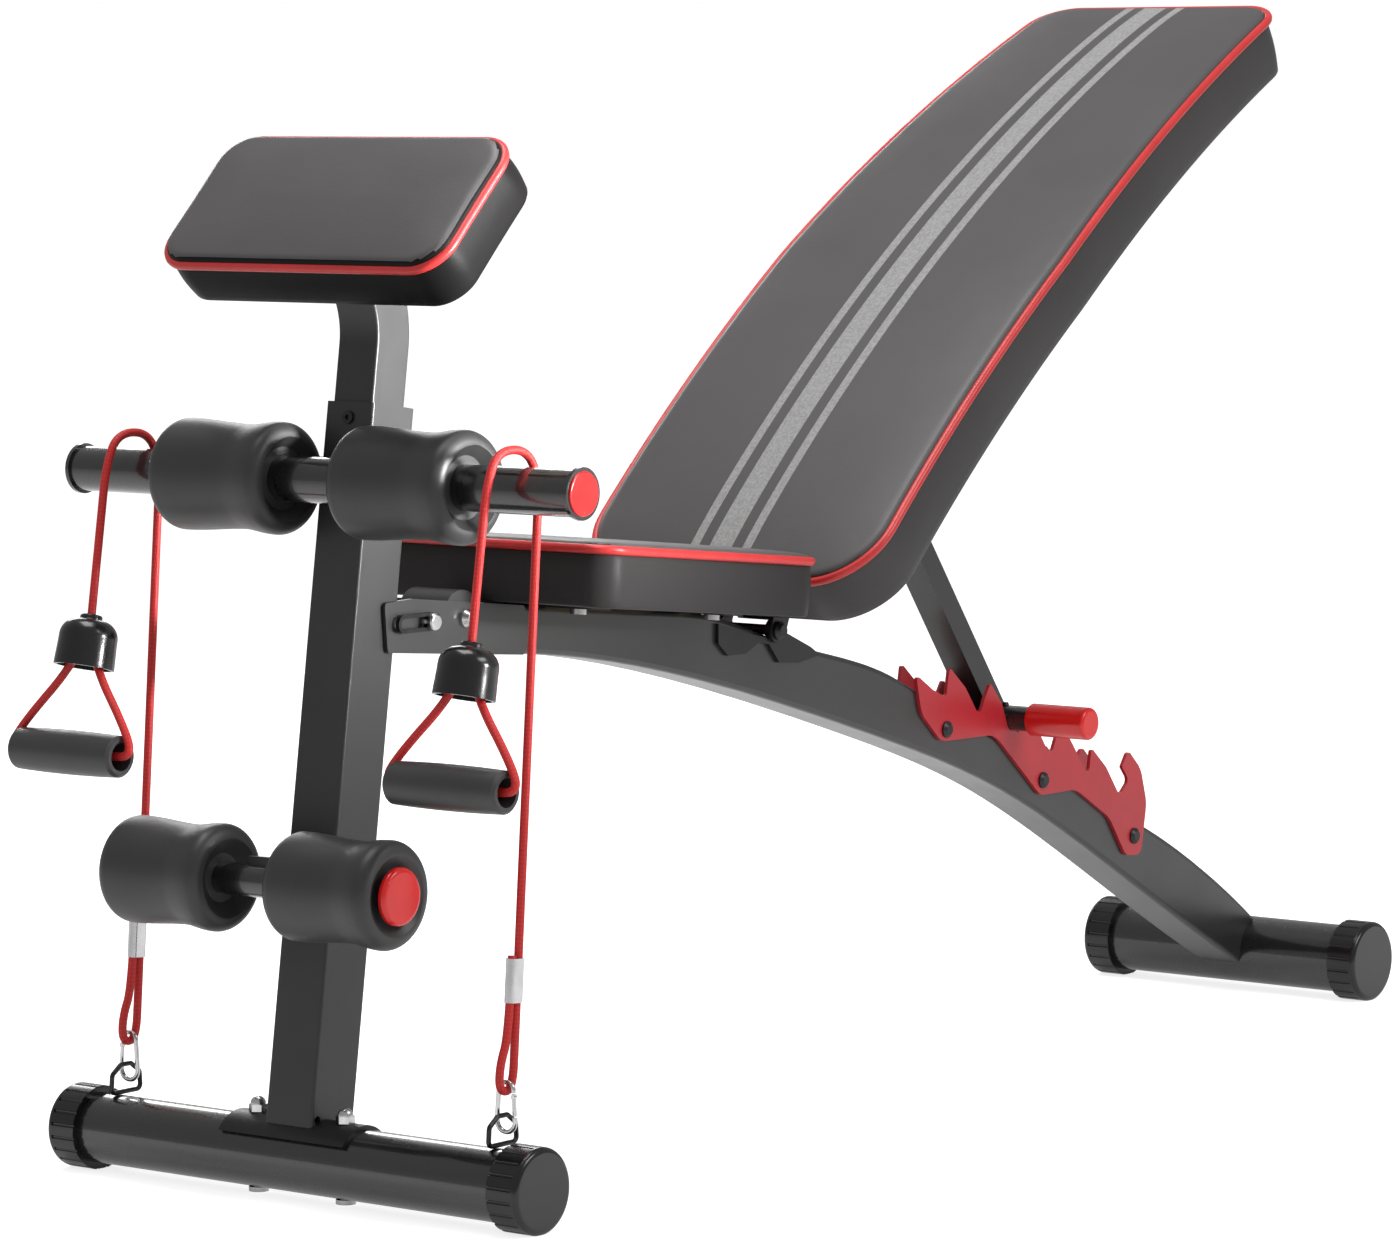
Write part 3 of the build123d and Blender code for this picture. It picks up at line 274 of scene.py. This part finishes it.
def braid(name, colour):
    """Braided cord: two crossing sets of strands drawn round and along the tube."""
    kit = Nodes(name, 0.55)
    around, along = kit.uv_parts()
    turn = kit.maths("MULTIPLY", around, BRAID_STRANDS)
    run = kit.maths("DIVIDE", along, BRAID_PITCH / 4)
    one = kit.maths("SINE", kit.maths("MULTIPLY", kit.maths("ADD", turn, run), pi))
    two = kit.maths("SINE", kit.maths("MULTIPLY", kit.maths("SUBTRACT", turn, run), pi))
    height = kit.spread(kit.maths("MULTIPLY", one, two), 0.0, 1.0)
    # painted shade: the strands' low parts, where they dip under each other, are drawn darker
    base = kit.mix(height, tone(colour, 0.7), colour)
    fibres = kit.noise(1500, stretch=(1, 1, 0.2))
    base = kit.mix(kit.maths("MULTIPLY", fibres, 0.12), base, tone(colour, 1.3))
    return kit.finish(base, None, kit.bump(height, 0.3, 0.0005))


ROPE = braid("rope_braid", (0.74, 0.026, 0.024))


def new_object(name, mesh, looks, body):
    """A piece that rides on a body, with its materials."""
    piece = bpy.data.objects.new(name, mesh)
    bpy.context.scene.collection.objects.link(piece)
    for look in looks:
        piece.data.materials.append(look)
    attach(piece, body)
    return piece


def spline_line(points):
    """Centreline of a smooth NURBS spline that follows a cord's route, as plain points."""
    curve = bpy.data.curves.new("route", "CURVE")
    curve.dimensions = "3D"
    curve.resolution_u = 24
    spline = curve.splines.new("NURBS")
    spline.points.add(len(points) - 1)
    for point, spot in zip(spline.points, points):
        point.co = (*spot, 1)
    spline.order_u = 3
    spline.use_endpoint_u = True
    holder = bpy.data.objects.new("route", curve)
    bpy.context.scene.collection.objects.link(holder)
    bpy.context.view_layer.update()
    line = bpy.data.meshes.new_from_object(holder)
    spots = [v.co.copy() for v in line.vertices]
    bpy.data.objects.remove(holder)
    bpy.data.meshes.remove(line)
    bpy.data.curves.remove(curve)
    return spots


def frames_along(spots, closed):
    """Two directions square to the line at every point, turned as little as possible."""
    count = len(spots)
    tangents = []
    for i in range(count):
        ahead = spots[(i + 1) % count] if closed or i < count - 1 else spots[i]
        behind = spots[i - 1] if closed or i > 0 else spots[i]
        tangents.append((ahead - behind).normalized())
    side = tangents[0].orthogonal().normalized()
    pairs = []
    for tangent in tangents:
        side = (side - tangent * side.dot(tangent)).normalized()
        pairs.append((side.copy(), tangent.cross(side).normalized()))
    return pairs


def tube_mesh(name, spots, radius, sides=16, closed=False):
    """Round tube along a line, with UV round it and in metres along it."""
    mesh = bmesh.new()
    uv_layer = mesh.loops.layers.uv.new("UVMap")
    rings = []
    for spot, (a, b) in zip(spots, frames_along(spots, closed)):
        ring = []
        for k in range(sides):
            turn = 2 * pi * k / sides
            ring.append(mesh.verts.new(spot + radius * (a * cos(turn) + b * sin(turn))))
        rings.append(ring)
    lengths = [0.0]
    for before, after in zip(spots, spots[1:] + spots[:1]):
        lengths.append(lengths[-1] + (after - before).length)
    for i in range(len(rings) if closed else len(rings) - 1):
        here, there = rings[i], rings[(i + 1) % len(rings)]
        for k in range(sides):
            beside = (k + 1) % sides
            face = mesh.faces.new((here[k], here[beside], there[beside], there[k]))
            face.smooth = True
            corners = ((k, i), (k + 1, i), (k + 1, i + 1), (k, i + 1))
            for loop, (turn, step) in zip(face.loops, corners):
                loop[uv_layer].uv = (turn / sides, lengths[step])
    if not closed:
        mesh.faces.new(list(reversed(rings[0])))
        mesh.faces.new(rings[-1])
    return finished_mesh(name, mesh)


def finished_mesh(name, mesh):
    """Ordinary mesh data from a bmesh, with its faces turned outwards."""
    bmesh.ops.recalc_face_normals(mesh, faces=mesh.faces)
    data = bpy.data.meshes.new(name)
    mesh.to_mesh(data)
    mesh.free()
    return data


ROPE_RADIUS = 0.003
ROPE_SIDE = 173                                   # each rope's plane, either side of the middle
STRAND_LOW, STRAND_SLOPE, STRAND_GAP = (19.0, 91.7), 0.0731, 6.74
PIVOT, GRIP_MIDDLE = (-22.9, 394.6), (-45.0, 303.0)
BELL_LEAN, BELL_THROAT = radians(13.6), 4.0
GRIP_T = BELL_THROAT + hypot(PIVOT[0] - GRIP_MIDDLE[0], PIVOT[1] - GRIP_MIDDLE[1])


def strand(z, beside=0.0):
    """A point of the rope's straight run up to the bar, or of its doubled end beside it."""
    return (STRAND_LOW[0] + STRAND_SLOPE * (z - STRAND_LOW[1]) - beside, z)


def handle_point(y, t, side):
    """A point in a handle's leaning plane: y across it, t down it."""
    drop = t - BELL_THROAT
    return at(
        PIVOT[0] - drop * sin(BELL_LEAN), PIVOT[1] - drop * cos(BELL_LEAN),
        side * (ROPE_SIDE + y),
    )


# the crimp's doubled end, round the snap hook, up over the bar and down to the bell
ROPE_ROUTE = (
    strand(183, STRAND_GAP), strand(130, STRAND_GAP), (5.1, 109), (5.0, 91.7), STRAND_LOW,
    strand(128), strand(472), strand(502), (36.5, 524), (5, 524), (-6.5, 500), (-11.4, 468.4),
    PIVOT,
)
# out of the bell, through the hand grip and back
HANDLE_ROUTE = (
    (-4.0, 13.2), (-5.5, 31), (-53, 84.5), (-56, GRIP_T), (-34, GRIP_T), (34, GRIP_T),
    (56, GRIP_T), (53, 84.5), (5.5, 31), (4.0, 13.2),
)


def lay_cord(name, points, body, stands_for):
    """A rope along its route, in place of its plain solid."""
    line = spline_line(points)
    cord = new_object(name, tube_mesh(name, line, ROPE_RADIUS), (ROPE,), body)
    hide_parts(stands_for)


for hand, side in (("left", 1), ("right", -1)):
    rope_points = [at(d, z, side * ROPE_SIDE) for d, z in ROPE_ROUTE]
    lay_cord(f"rope_{hand}", rope_points, "post", f"band_rope_{hand}")
    sling_points = [handle_point(y, t, side) for y, t in HANDLE_ROUTE]
    lay_cord(f"sling_{hand}", sling_points, f"handle_{hand}", f"handle_cord_{hand}")


# ------------------------------------------------------------------ pads
STRIPE_MIDDLE, STRIPE_BAND, STRIPE_PIN = 0.0035, 0.0105, (0.0205, 0.0285)
STRIPES_REACH = 0.05                              # no print farther out than this


def stripes(kit, base):
    """Prints one wide band and a thin line each side of it over a vinyl's colour."""
    across = kit.uv_parts()[1]
    away = kit.maths("ABSOLUTE", kit.maths("SUBTRACT", across, STRIPE_MIDDLE))
    band = kit.maths("LESS_THAN", away, STRIPE_BAND)
    beyond = kit.maths("GREATER_THAN", away, STRIPE_PIN[0])
    within = kit.maths("LESS_THAN", away, STRIPE_PIN[1])
    lines = kit.maths("ADD", band, kit.maths("MULTIPLY", beyond, within), clamp=True)
    near = kit.maths("LESS_THAN", kit.maths("ABSOLUTE", across), STRIPES_REACH)
    screen = kit.noise(420, detail=2)
    print_tone = kit.ramp(screen, ((0.35, (0.26, 0.26, 0.26)), (0.65, (0.36, 0.36, 0.36))))
    return kit.mix(kit.maths("MULTIPLY", lines, near), base, print_tone)


def vinyl(name, level, striped=False, specular=0.5):
    """Charcoal vinyl: pebbled leather grain, faint wrinkles and handling marks."""
    kit = Nodes(name, 0.42, specular=specular)
    warm = (1.0, 0.94, 0.94)
    dark, pale = (tuple(level * share * c for c in warm) for share in (0.9, 1.1))
    base = kit.ramp(kit.noise(6, detail=4), ((0.3, dark), (0.7, pale)))
    if striped:
        base = stripes(kit, base)
    grain = kit.bump(kit.cells(520, "SMOOTH_F1"), 0.10, 0.0004)
    wrinkle = kit.bump(kit.noise(22), 0.07, 0.004, grain)
    return kit.finish(base, kit.spread(kit.noise(16), 0.38, 0.5), wrinkle)


def piping_look():
    """Red vinyl cord, sewn into the seam."""
    kit = Nodes("red_piping", 0.4, coat=0.15)
    base = kit.ramp(kit.noise(40), ((0.3, (0.56, 0.022, 0.022)), (0.7, (0.66, 0.030, 0.030))))
    return kit.finish(base, None, kit.bump(kit.cells(900), 0.12, 0.0004))


PAD = vinyl("pad_vinyl", 0.084)
STRIPED = vinyl("striped_vinyl", 0.076, striped=True)
# painted shade: each pad's sides get a darker copy of the same vinyl, dimmed to how little light falls on
# them
BACK_SIDE_PAINTED_SHADE = vinyl("back_side_painted_shade_vinyl", 0.056, specular=0.3)
SEAT_SIDE_PAINTED_SHADE = vinyl("seat_side_painted_shade_vinyl", 0.040, specular=0.1)
ARM_SIDE_PAINTED_SHADE = vinyl("arm_side_painted_shade_vinyl", 0.009, specular=0.08)
PIPING = piping_look()

COLUMNS, SIDE_STEPS = 36, 8
CROWN, CROWN_REACH = 3.0, 30.0                    # the middle's rise, and how fast it comes
EDGE_ROUND = 5.0                                  # radius of the top's edge
PUCKER, PUCKER_SIZE, PUCKER_REACH, PUCKER_SLICE = 0.3, 25.0, 40.0, 7.3
SIDE_PULL = 0.8                                   # how far the sides pull in between the ends
BULGE = 1.4                                       # how far the pad's wall stands out
SEAM_SHADE_WIDTH = 2.4                                   # width of the painted seam shadow: a dark line of the side's vinyl inside the piping
GROOVE_DEPTH, GROOVE_HALF = 1.6, 1.0              # the groove that the piping lies in
WALL_BELOW_SEAM, WALL_END = 2.6, 1.5              # the wall's top below the seam, its foot's height
HEM_ROUND = ((-0.8, -0.4), (-2.5, 0.0))           # out of the outline, below the underside
HEM, HEM_LIP = 14.0, 4.0                          # the cover's turned-in edge under the board
PIPING_RADIUS, PIPING_SIDES, PIPING_STEP = 3.4, 12, 0.002      # the step in metres
WELD = 0.00002                                    # metres, closes points that coincide


def inside_outline(x, y, half, length, low_corner, high_corner):
    """Distance in from a round-cornered pad's outline, in its own plane."""
    depth = min(half - abs(y), x, length - x)
    for corner, along in ((low_corner, x), (high_corner, length - x)):
        short_x, short_y = corner - along, abs(y) - (half - corner)
        if short_x > 0 and short_y > 0:
            depth = min(depth, corner - hypot(short_x, short_y))
    return max(0.0, depth)


def outward(x, y, length, width_at, low_corner, high_corner):
    """Unit direction out of the pad's outline, in its plane, at a border point."""
    side = 1 if y > 0 else -1
    for corner, centre_x, sign in (
        (low_corner, low_corner, -1), (high_corner, length - high_corner, 1),
    ):
        if (x - centre_x) * sign > 0:
            centre_y = width_at(centre_x) - corner
            if abs(y) <= centre_y:
                return (sign, 0)
            dx, dy = x - centre_x, abs(y) - centre_y
            reach = hypot(dx, dy)
            return (dx / reach, side * dy / reach)
    return (0, side)


def pad_outline(width_at, length, low_corner, high_corner, rows):
    """Rows across a round-cornered pad: for each, its place along and its half width."""
    spots = []
    for k in range(rows + 1):
        # rows crowd towards the ends, where the corners are
        x = length * 0.5 * (1 - cos(pi * k / rows))
        half = width_at(x)
        for corner, along in ((low_corner, x), (high_corner, length - x)):
            if along < corner:
                half -= corner - (corner**2 - (corner - along) ** 2) ** 0.5
        spots.append((x, half))
    return spots


def pad_top(mesh, place, width_at, length, corners, rows):
    """The crowned top: its grid of vertices, and where each one lies in the pad's plane."""
    flat, seam_shade_verts, grid = {}, set(), []
    for x, half in pad_outline(width_at, length, *corners, rows):
        row = []
        for j in range(COLUMNS + 1):
            y = half * sin(0.5 * pi * sin(0.5 * pi * (2 * j / COLUMNS - 1)))
            inside = inside_outline(x, y, width_at(x), length, *corners)
            drop = EDGE_ROUND - (EDGE_ROUND**2 - max(0.0, EDGE_ROUND - inside) ** 2) ** 0.5
            rise = CROWN * (1 - exp(-inside / CROWN_REACH)) - drop
            ripple = noise.noise(Vector((x / PUCKER_SIZE, y / PUCKER_SIZE, PUCKER_SLICE)))
            pucker = PUCKER * ripple * exp(-inside / PUCKER_REACH)
            vert = mesh.verts.new(place(x, y, -rise - pucker))
            flat[vert] = (x, y)
            if inside < SEAM_SHADE_WIDTH:
                seam_shade_verts.add(vert)
            row.append(vert)
        grid.append(row)
    for here, there in zip(grid, grid[1:]):
        for j in range(COLUMNS):
            face = mesh.faces.new((here[j], here[j + 1], there[j + 1], there[j]))
            # painted seam shadow: faces along the top's very edge take the side's darker vinyl
            face.material_index = int(all(vert in seam_shade_verts for vert in face.verts))
    return grid, flat


def ring_of_faces(mesh, outer, inner):
    for k in range(len(outer)):
        after = (k + 1) % len(outer)
        face = mesh.faces.new((outer[k], inner[k], inner[after], outer[after]))
        face.material_index = 1


def side_profile(thickness, seam):
    """Down a pad's side: how far out of the outline and how deep, groove, wall and hem."""
    profile = [(-GROOVE_DEPTH, seam - GROOVE_HALF), (-GROOVE_DEPTH, seam + GROOVE_HALF)]
    wall_top, wall_end = seam + WALL_BELOW_SEAM, thickness - WALL_END
    for k in range(SIDE_STEPS + 1):
        share = k / SIDE_STEPS
        profile.append((BULGE * sin(pi * share), wall_top + (wall_end - wall_top) * share))
    profile += [(out, thickness + below) for out, below in HEM_ROUND]
    return profile + [(-HEM, thickness), (-HEM, thickness - HEM_LIP)]


def close_below(mesh, ring, rows):
    """Closes the pad under its board with one strip a row, so that it follows the pad's curve."""
    right = [ring[COLUMNS + i] for i in range(rows + 1)]
    left = [ring[-i] for i in range(rows + 1)]
    low_end, high_end = ring[: COLUMNS + 1], ring[COLUMNS + rows : 2 * COLUMNS + rows + 1]
    mesh.faces.new(low_end + [right[1], left[1]]).material_index = 1
    mesh.faces.new(high_end + [left[rows - 1], right[rows - 1]]).material_index = 1
    for i in range(1, rows - 1):
        face = mesh.faces.new((left[i], right[i], right[i + 1], left[i + 1]))
        face.material_index = 1


def piping_line(spots):
    """The piping's closed line, without points too near to their neighbours."""
    line = spots[:1]
    for spot in spots[1:]:
        if (spot - line[-1]).length > PIPING_STEP:
            line.append(spot)
    if (line[0] - line[-1]).length < PIPING_STEP:
        line.pop()
    return line


def make_pad(name, place, width_at, length, thickness, corners, body, looks, seam, rows=64,
             piping_out=0.3):
    """Upholstered pad with its piping. place(x, y, depth) maps pad millimetres to the frame."""
    mesh = bmesh.new()
    uv_layer = mesh.loops.layers.uv.new("UVMap")
    grid, flat = pad_top(mesh, place, width_at, length, corners, rows)
    border = (
        grid[0][:-1] + [row[-1] for row in grid[:-1]] + grid[-1][:0:-1]
        + [row[0] for row in grid[:0:-1]]
    )
    directions = [outward(*flat[vert], length, width_at, *corners) for vert in border]

    def moved_out(out):
        """The border's points, moved out of the outline in the pad's plane."""
        return [
            (flat[vert][0] + out * out_x, flat[vert][1] + out * out_y)
            for vert, (out_x, out_y) in zip(border, directions)
        ]

    ring = border
    for out, depth in side_profile(thickness, seam):
        below = []
        for spot in moved_out(out):
            vert = mesh.verts.new(place(*spot, depth))
            flat[vert] = spot
            below.append(vert)
        ring_of_faces(mesh, ring, below)
        ring = below
    close_below(mesh, ring, rows)
    for face in mesh.faces:
        face.smooth = True
        for loop in face.loops:
            loop[uv_layer].uv = (flat[loop.vert][0] / 1000, flat[loop.vert][1] / 1000)
    piping_spots = piping_line([place(*spot, seam) for spot in moved_out(piping_out)])
    bmesh.ops.remove_doubles(mesh, verts=mesh.verts, dist=WELD)
    pad = new_object(name, finished_mesh(name, mesh), looks, body)
    cord = tube_mesh("piping", piping_spots, PIPING_RADIUS / 1000, PIPING_SIDES, closed=True)
    new_object(f"{name}_piping", cord, (PIPING,), body)
    return pad


def pulled_in(half, x, length):
    """Half width of a pad whose sides pull in a little between its ends."""
    return half - SIDE_PULL * sin(pi * x / length)


# backrest: its section is an arc
BACK_START, BACK_RADIUS, BACK_ANGLE = (464, 401), 1950.0, radians(46.25)
BACK_LENGTH, BACK_THICKNESS, BACK_CORNERS = 762.0, 52.0, (55.0, 30.0)
BACK_HALF, BACK_NARROWING, BACK_TAPER_FROM, BACK_TAPER_POWER = 134.5, 22.5, 360, 1.15
BACK_CLEAR = 5.5      # kept off the low end, so that the piping clears the beam when raised
BACK_CENTRE = (
    BACK_START[0] + BACK_RADIUS * sin(BACK_ANGLE), BACK_START[1] - BACK_RADIUS * cos(BACK_ANGLE),
)


def back_place(x, y, depth):
    angle = BACK_ANGLE - (x + BACK_CLEAR) / BACK_RADIUS
    reach = BACK_RADIUS - depth
    return at(BACK_CENTRE[0] - reach * sin(angle), BACK_CENTRE[1] + reach * cos(angle), y)


def back_half(x):
    """Half width: full as far as the taper, then narrowing to the top."""
    along = x + BACK_CLEAR
    taper = max(0.0, (along - BACK_TAPER_FROM) / (BACK_LENGTH - BACK_TAPER_FROM))
    return pulled_in(BACK_HALF - BACK_NARROWING * taper**BACK_TAPER_POWER, along, BACK_LENGTH)


back_cushion = make_pad(
    "back_cushion", back_place, back_half, BACK_LENGTH - BACK_CLEAR, BACK_THICKNESS,
    BACK_CORNERS, "backrest", (STRIPED, BACK_SIDE_PAINTED_SHADE), seam=4.6, rows=110, piping_out=1.5,
)
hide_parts("backrest_pad")

# seat
SEAT_FRONT, SEAT_LEAN = (186, 449.5), radians(5.53)
SEAT_LENGTH, SEAT_HALF, SEAT_THICKNESS, SEAT_CORNER = 254.0, 123.5, 46.0, 20.0


def seat_place(x, y, depth):
    d = SEAT_FRONT[0] + x * cos(SEAT_LEAN) - depth * sin(SEAT_LEAN)
    z = SEAT_FRONT[1] - x * sin(SEAT_LEAN) - depth * cos(SEAT_LEAN)
    return at(d, z, y)


seat_cushion = make_pad(
    "seat_cushion", seat_place, lambda x: pulled_in(SEAT_HALF, x, SEAT_LENGTH), SEAT_LENGTH,
    SEAT_THICKNESS, (SEAT_CORNER, SEAT_CORNER), "frame", (PAD, SEAT_SIDE_PAINTED_SHADE), seam=5.0,
)
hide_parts("seat_pad")

# arm pad
ARM_MIDDLE, ARM_LEAN, ARM_LOW_END = (34, 689.6), radians(45.2), 58.0
ARM_LENGTH, ARM_HALF, ARM_THICKNESS, ARM_CORNER = 120.0, 127.2, 44.0, 26.0


def arm_place(x, y, depth):
    along = x - ARM_LOW_END
    d = ARM_MIDDLE[0] + along * cos(ARM_LEAN) + depth * sin(ARM_LEAN)
    z = ARM_MIDDLE[1] + along * sin(ARM_LEAN) - depth * cos(ARM_LEAN)
    return at(d, z, y)


arm_cushion = make_pad(
    "arm_cushion", arm_place, lambda x: pulled_in(ARM_HALF, x, ARM_LENGTH), ARM_LENGTH,
    ARM_THICKNESS, (ARM_CORNER, ARM_CORNER), "preacher", (PAD, ARM_SIDE_PAINTED_SHADE), seam=7.2, rows=48,
)
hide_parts("preacher_pad")


# ------------------------------------------------------------------ stage
FLOOR_REACH = 40
FLOOR_LIFT, FLOOR_REFLECTED = 0.78, 0.3
ROOM_LIGHT, ROOM_REFLECTED = 0.42, 0.38


def light_maths(tree, operation, a, b):
    """Joins a socket with another socket or a number."""
    node = tree.nodes.new("ShaderNodeMath")
    node.operation = operation
    tree.links.new(a, node.inputs[0])
    if isinstance(b, float):
        node.inputs[1].default_value = b
    else:
        tree.links.new(b, node.inputs[1])
    return node.outputs[0]


def floor_look():
    """White floor; the camera sees it brighter than it is, so that only shadows show."""
    material = bpy.data.materials.new("floor")
    material.use_nodes = True
    tree = material.node_tree
    shader = tree.nodes["Principled BSDF"]
    shader.inputs["Base Color"].default_value = (0.8, 0.8, 0.8, 1)
    shader.inputs["Roughness"].default_value = 0.9
    shader.inputs["Specular IOR Level"].default_value = 0.0
    shader.inputs["Emission Color"].default_value = (1, 1, 1, 1)
    path = tree.nodes.new("ShaderNodeLightPath").outputs
    seen = light_maths(tree, "MULTIPLY", path["Is Camera Ray"], FLOOR_LIFT)
    mirrored = light_maths(tree, "MULTIPLY", path["Is Glossy Ray"], FLOOR_REFLECTED)
    lift = light_maths(tree, "MAXIMUM", seen, mirrored)
    tree.links.new(lift, shader.inputs["Emission Strength"])
    return material


def lay_floor():
    r = FLOOR_REACH
    data = bpy.data.meshes.new("floor")
    data.from_pydata([(-r, -r, 0), (r, -r, 0), (r, r, 0), (-r, r, 0)], [], [(0, 1, 2, 3)])
    floor = bpy.data.objects.new("floor", data)
    bpy.context.scene.collection.objects.link(floor)
    floor.data.materials.append(floor_look())


def white_room():
    """White backdrop to the camera; dimmer as a lamp and in reflections."""
    world = bpy.data.worlds.new("world")
    bpy.context.scene.world = world
    world.use_nodes = True
    tree = world.node_tree
    background = tree.nodes["Background"]
    background.inputs["Color"].default_value = (1, 1, 1, 1)
    path = tree.nodes.new("ShaderNodeLightPath").outputs
    shine = tree.nodes.new("ShaderNodeMapRange")
    shine.inputs["To Min"].default_value = ROOM_LIGHT
    shine.inputs["To Max"].default_value = ROOM_REFLECTED
    tree.links.new(path["Is Glossy Ray"], shine.inputs["Value"])
    strength = light_maths(tree, "MAXIMUM", path["Is Camera Ray"], shine.outputs[0])
    tree.links.new(strength, background.inputs["Strength"])


def area_lamp(name, spot, target, size, power, spread=180):
    """Rectangular lamp at a spot, turned to a target, in metres, watts and degrees."""
    lamp = bpy.data.lights.new(name, "AREA")
    lamp.shape = "RECTANGLE"
    lamp.size, lamp.size_y = size
    lamp.energy = power
    lamp.spread = radians(spread)
    holder = bpy.data.objects.new(name, lamp)
    bpy.context.scene.collection.objects.link(holder)
    holder.location = spot
    holder.rotation_euler = (Vector(target) - Vector(spot)).to_track_quat("-Z", "Y").to_euler()


lay_floor()
white_room()
area_lamp("key", (0.3, -2.6, 2.4), (0.1, 0, 0.4), (1.6, 1.0), 34)
area_lamp("side", (0.15, -1.9, 0.75), (-0.53, 0, 0.66), (0.3, 0.3), 2.8, spread=20)
area_lamp("top", (-0.4, 0.2, 2.8), (-0.1, 0, 0.4), (1.6, 1.2), 38)
area_lamp("back", (1.8, 2.6, 1.7), (-0.3, 0, 0.3), (1.8, 0.7), 26)
bpy.context.scene.view_settings.view_transform = "Standard"
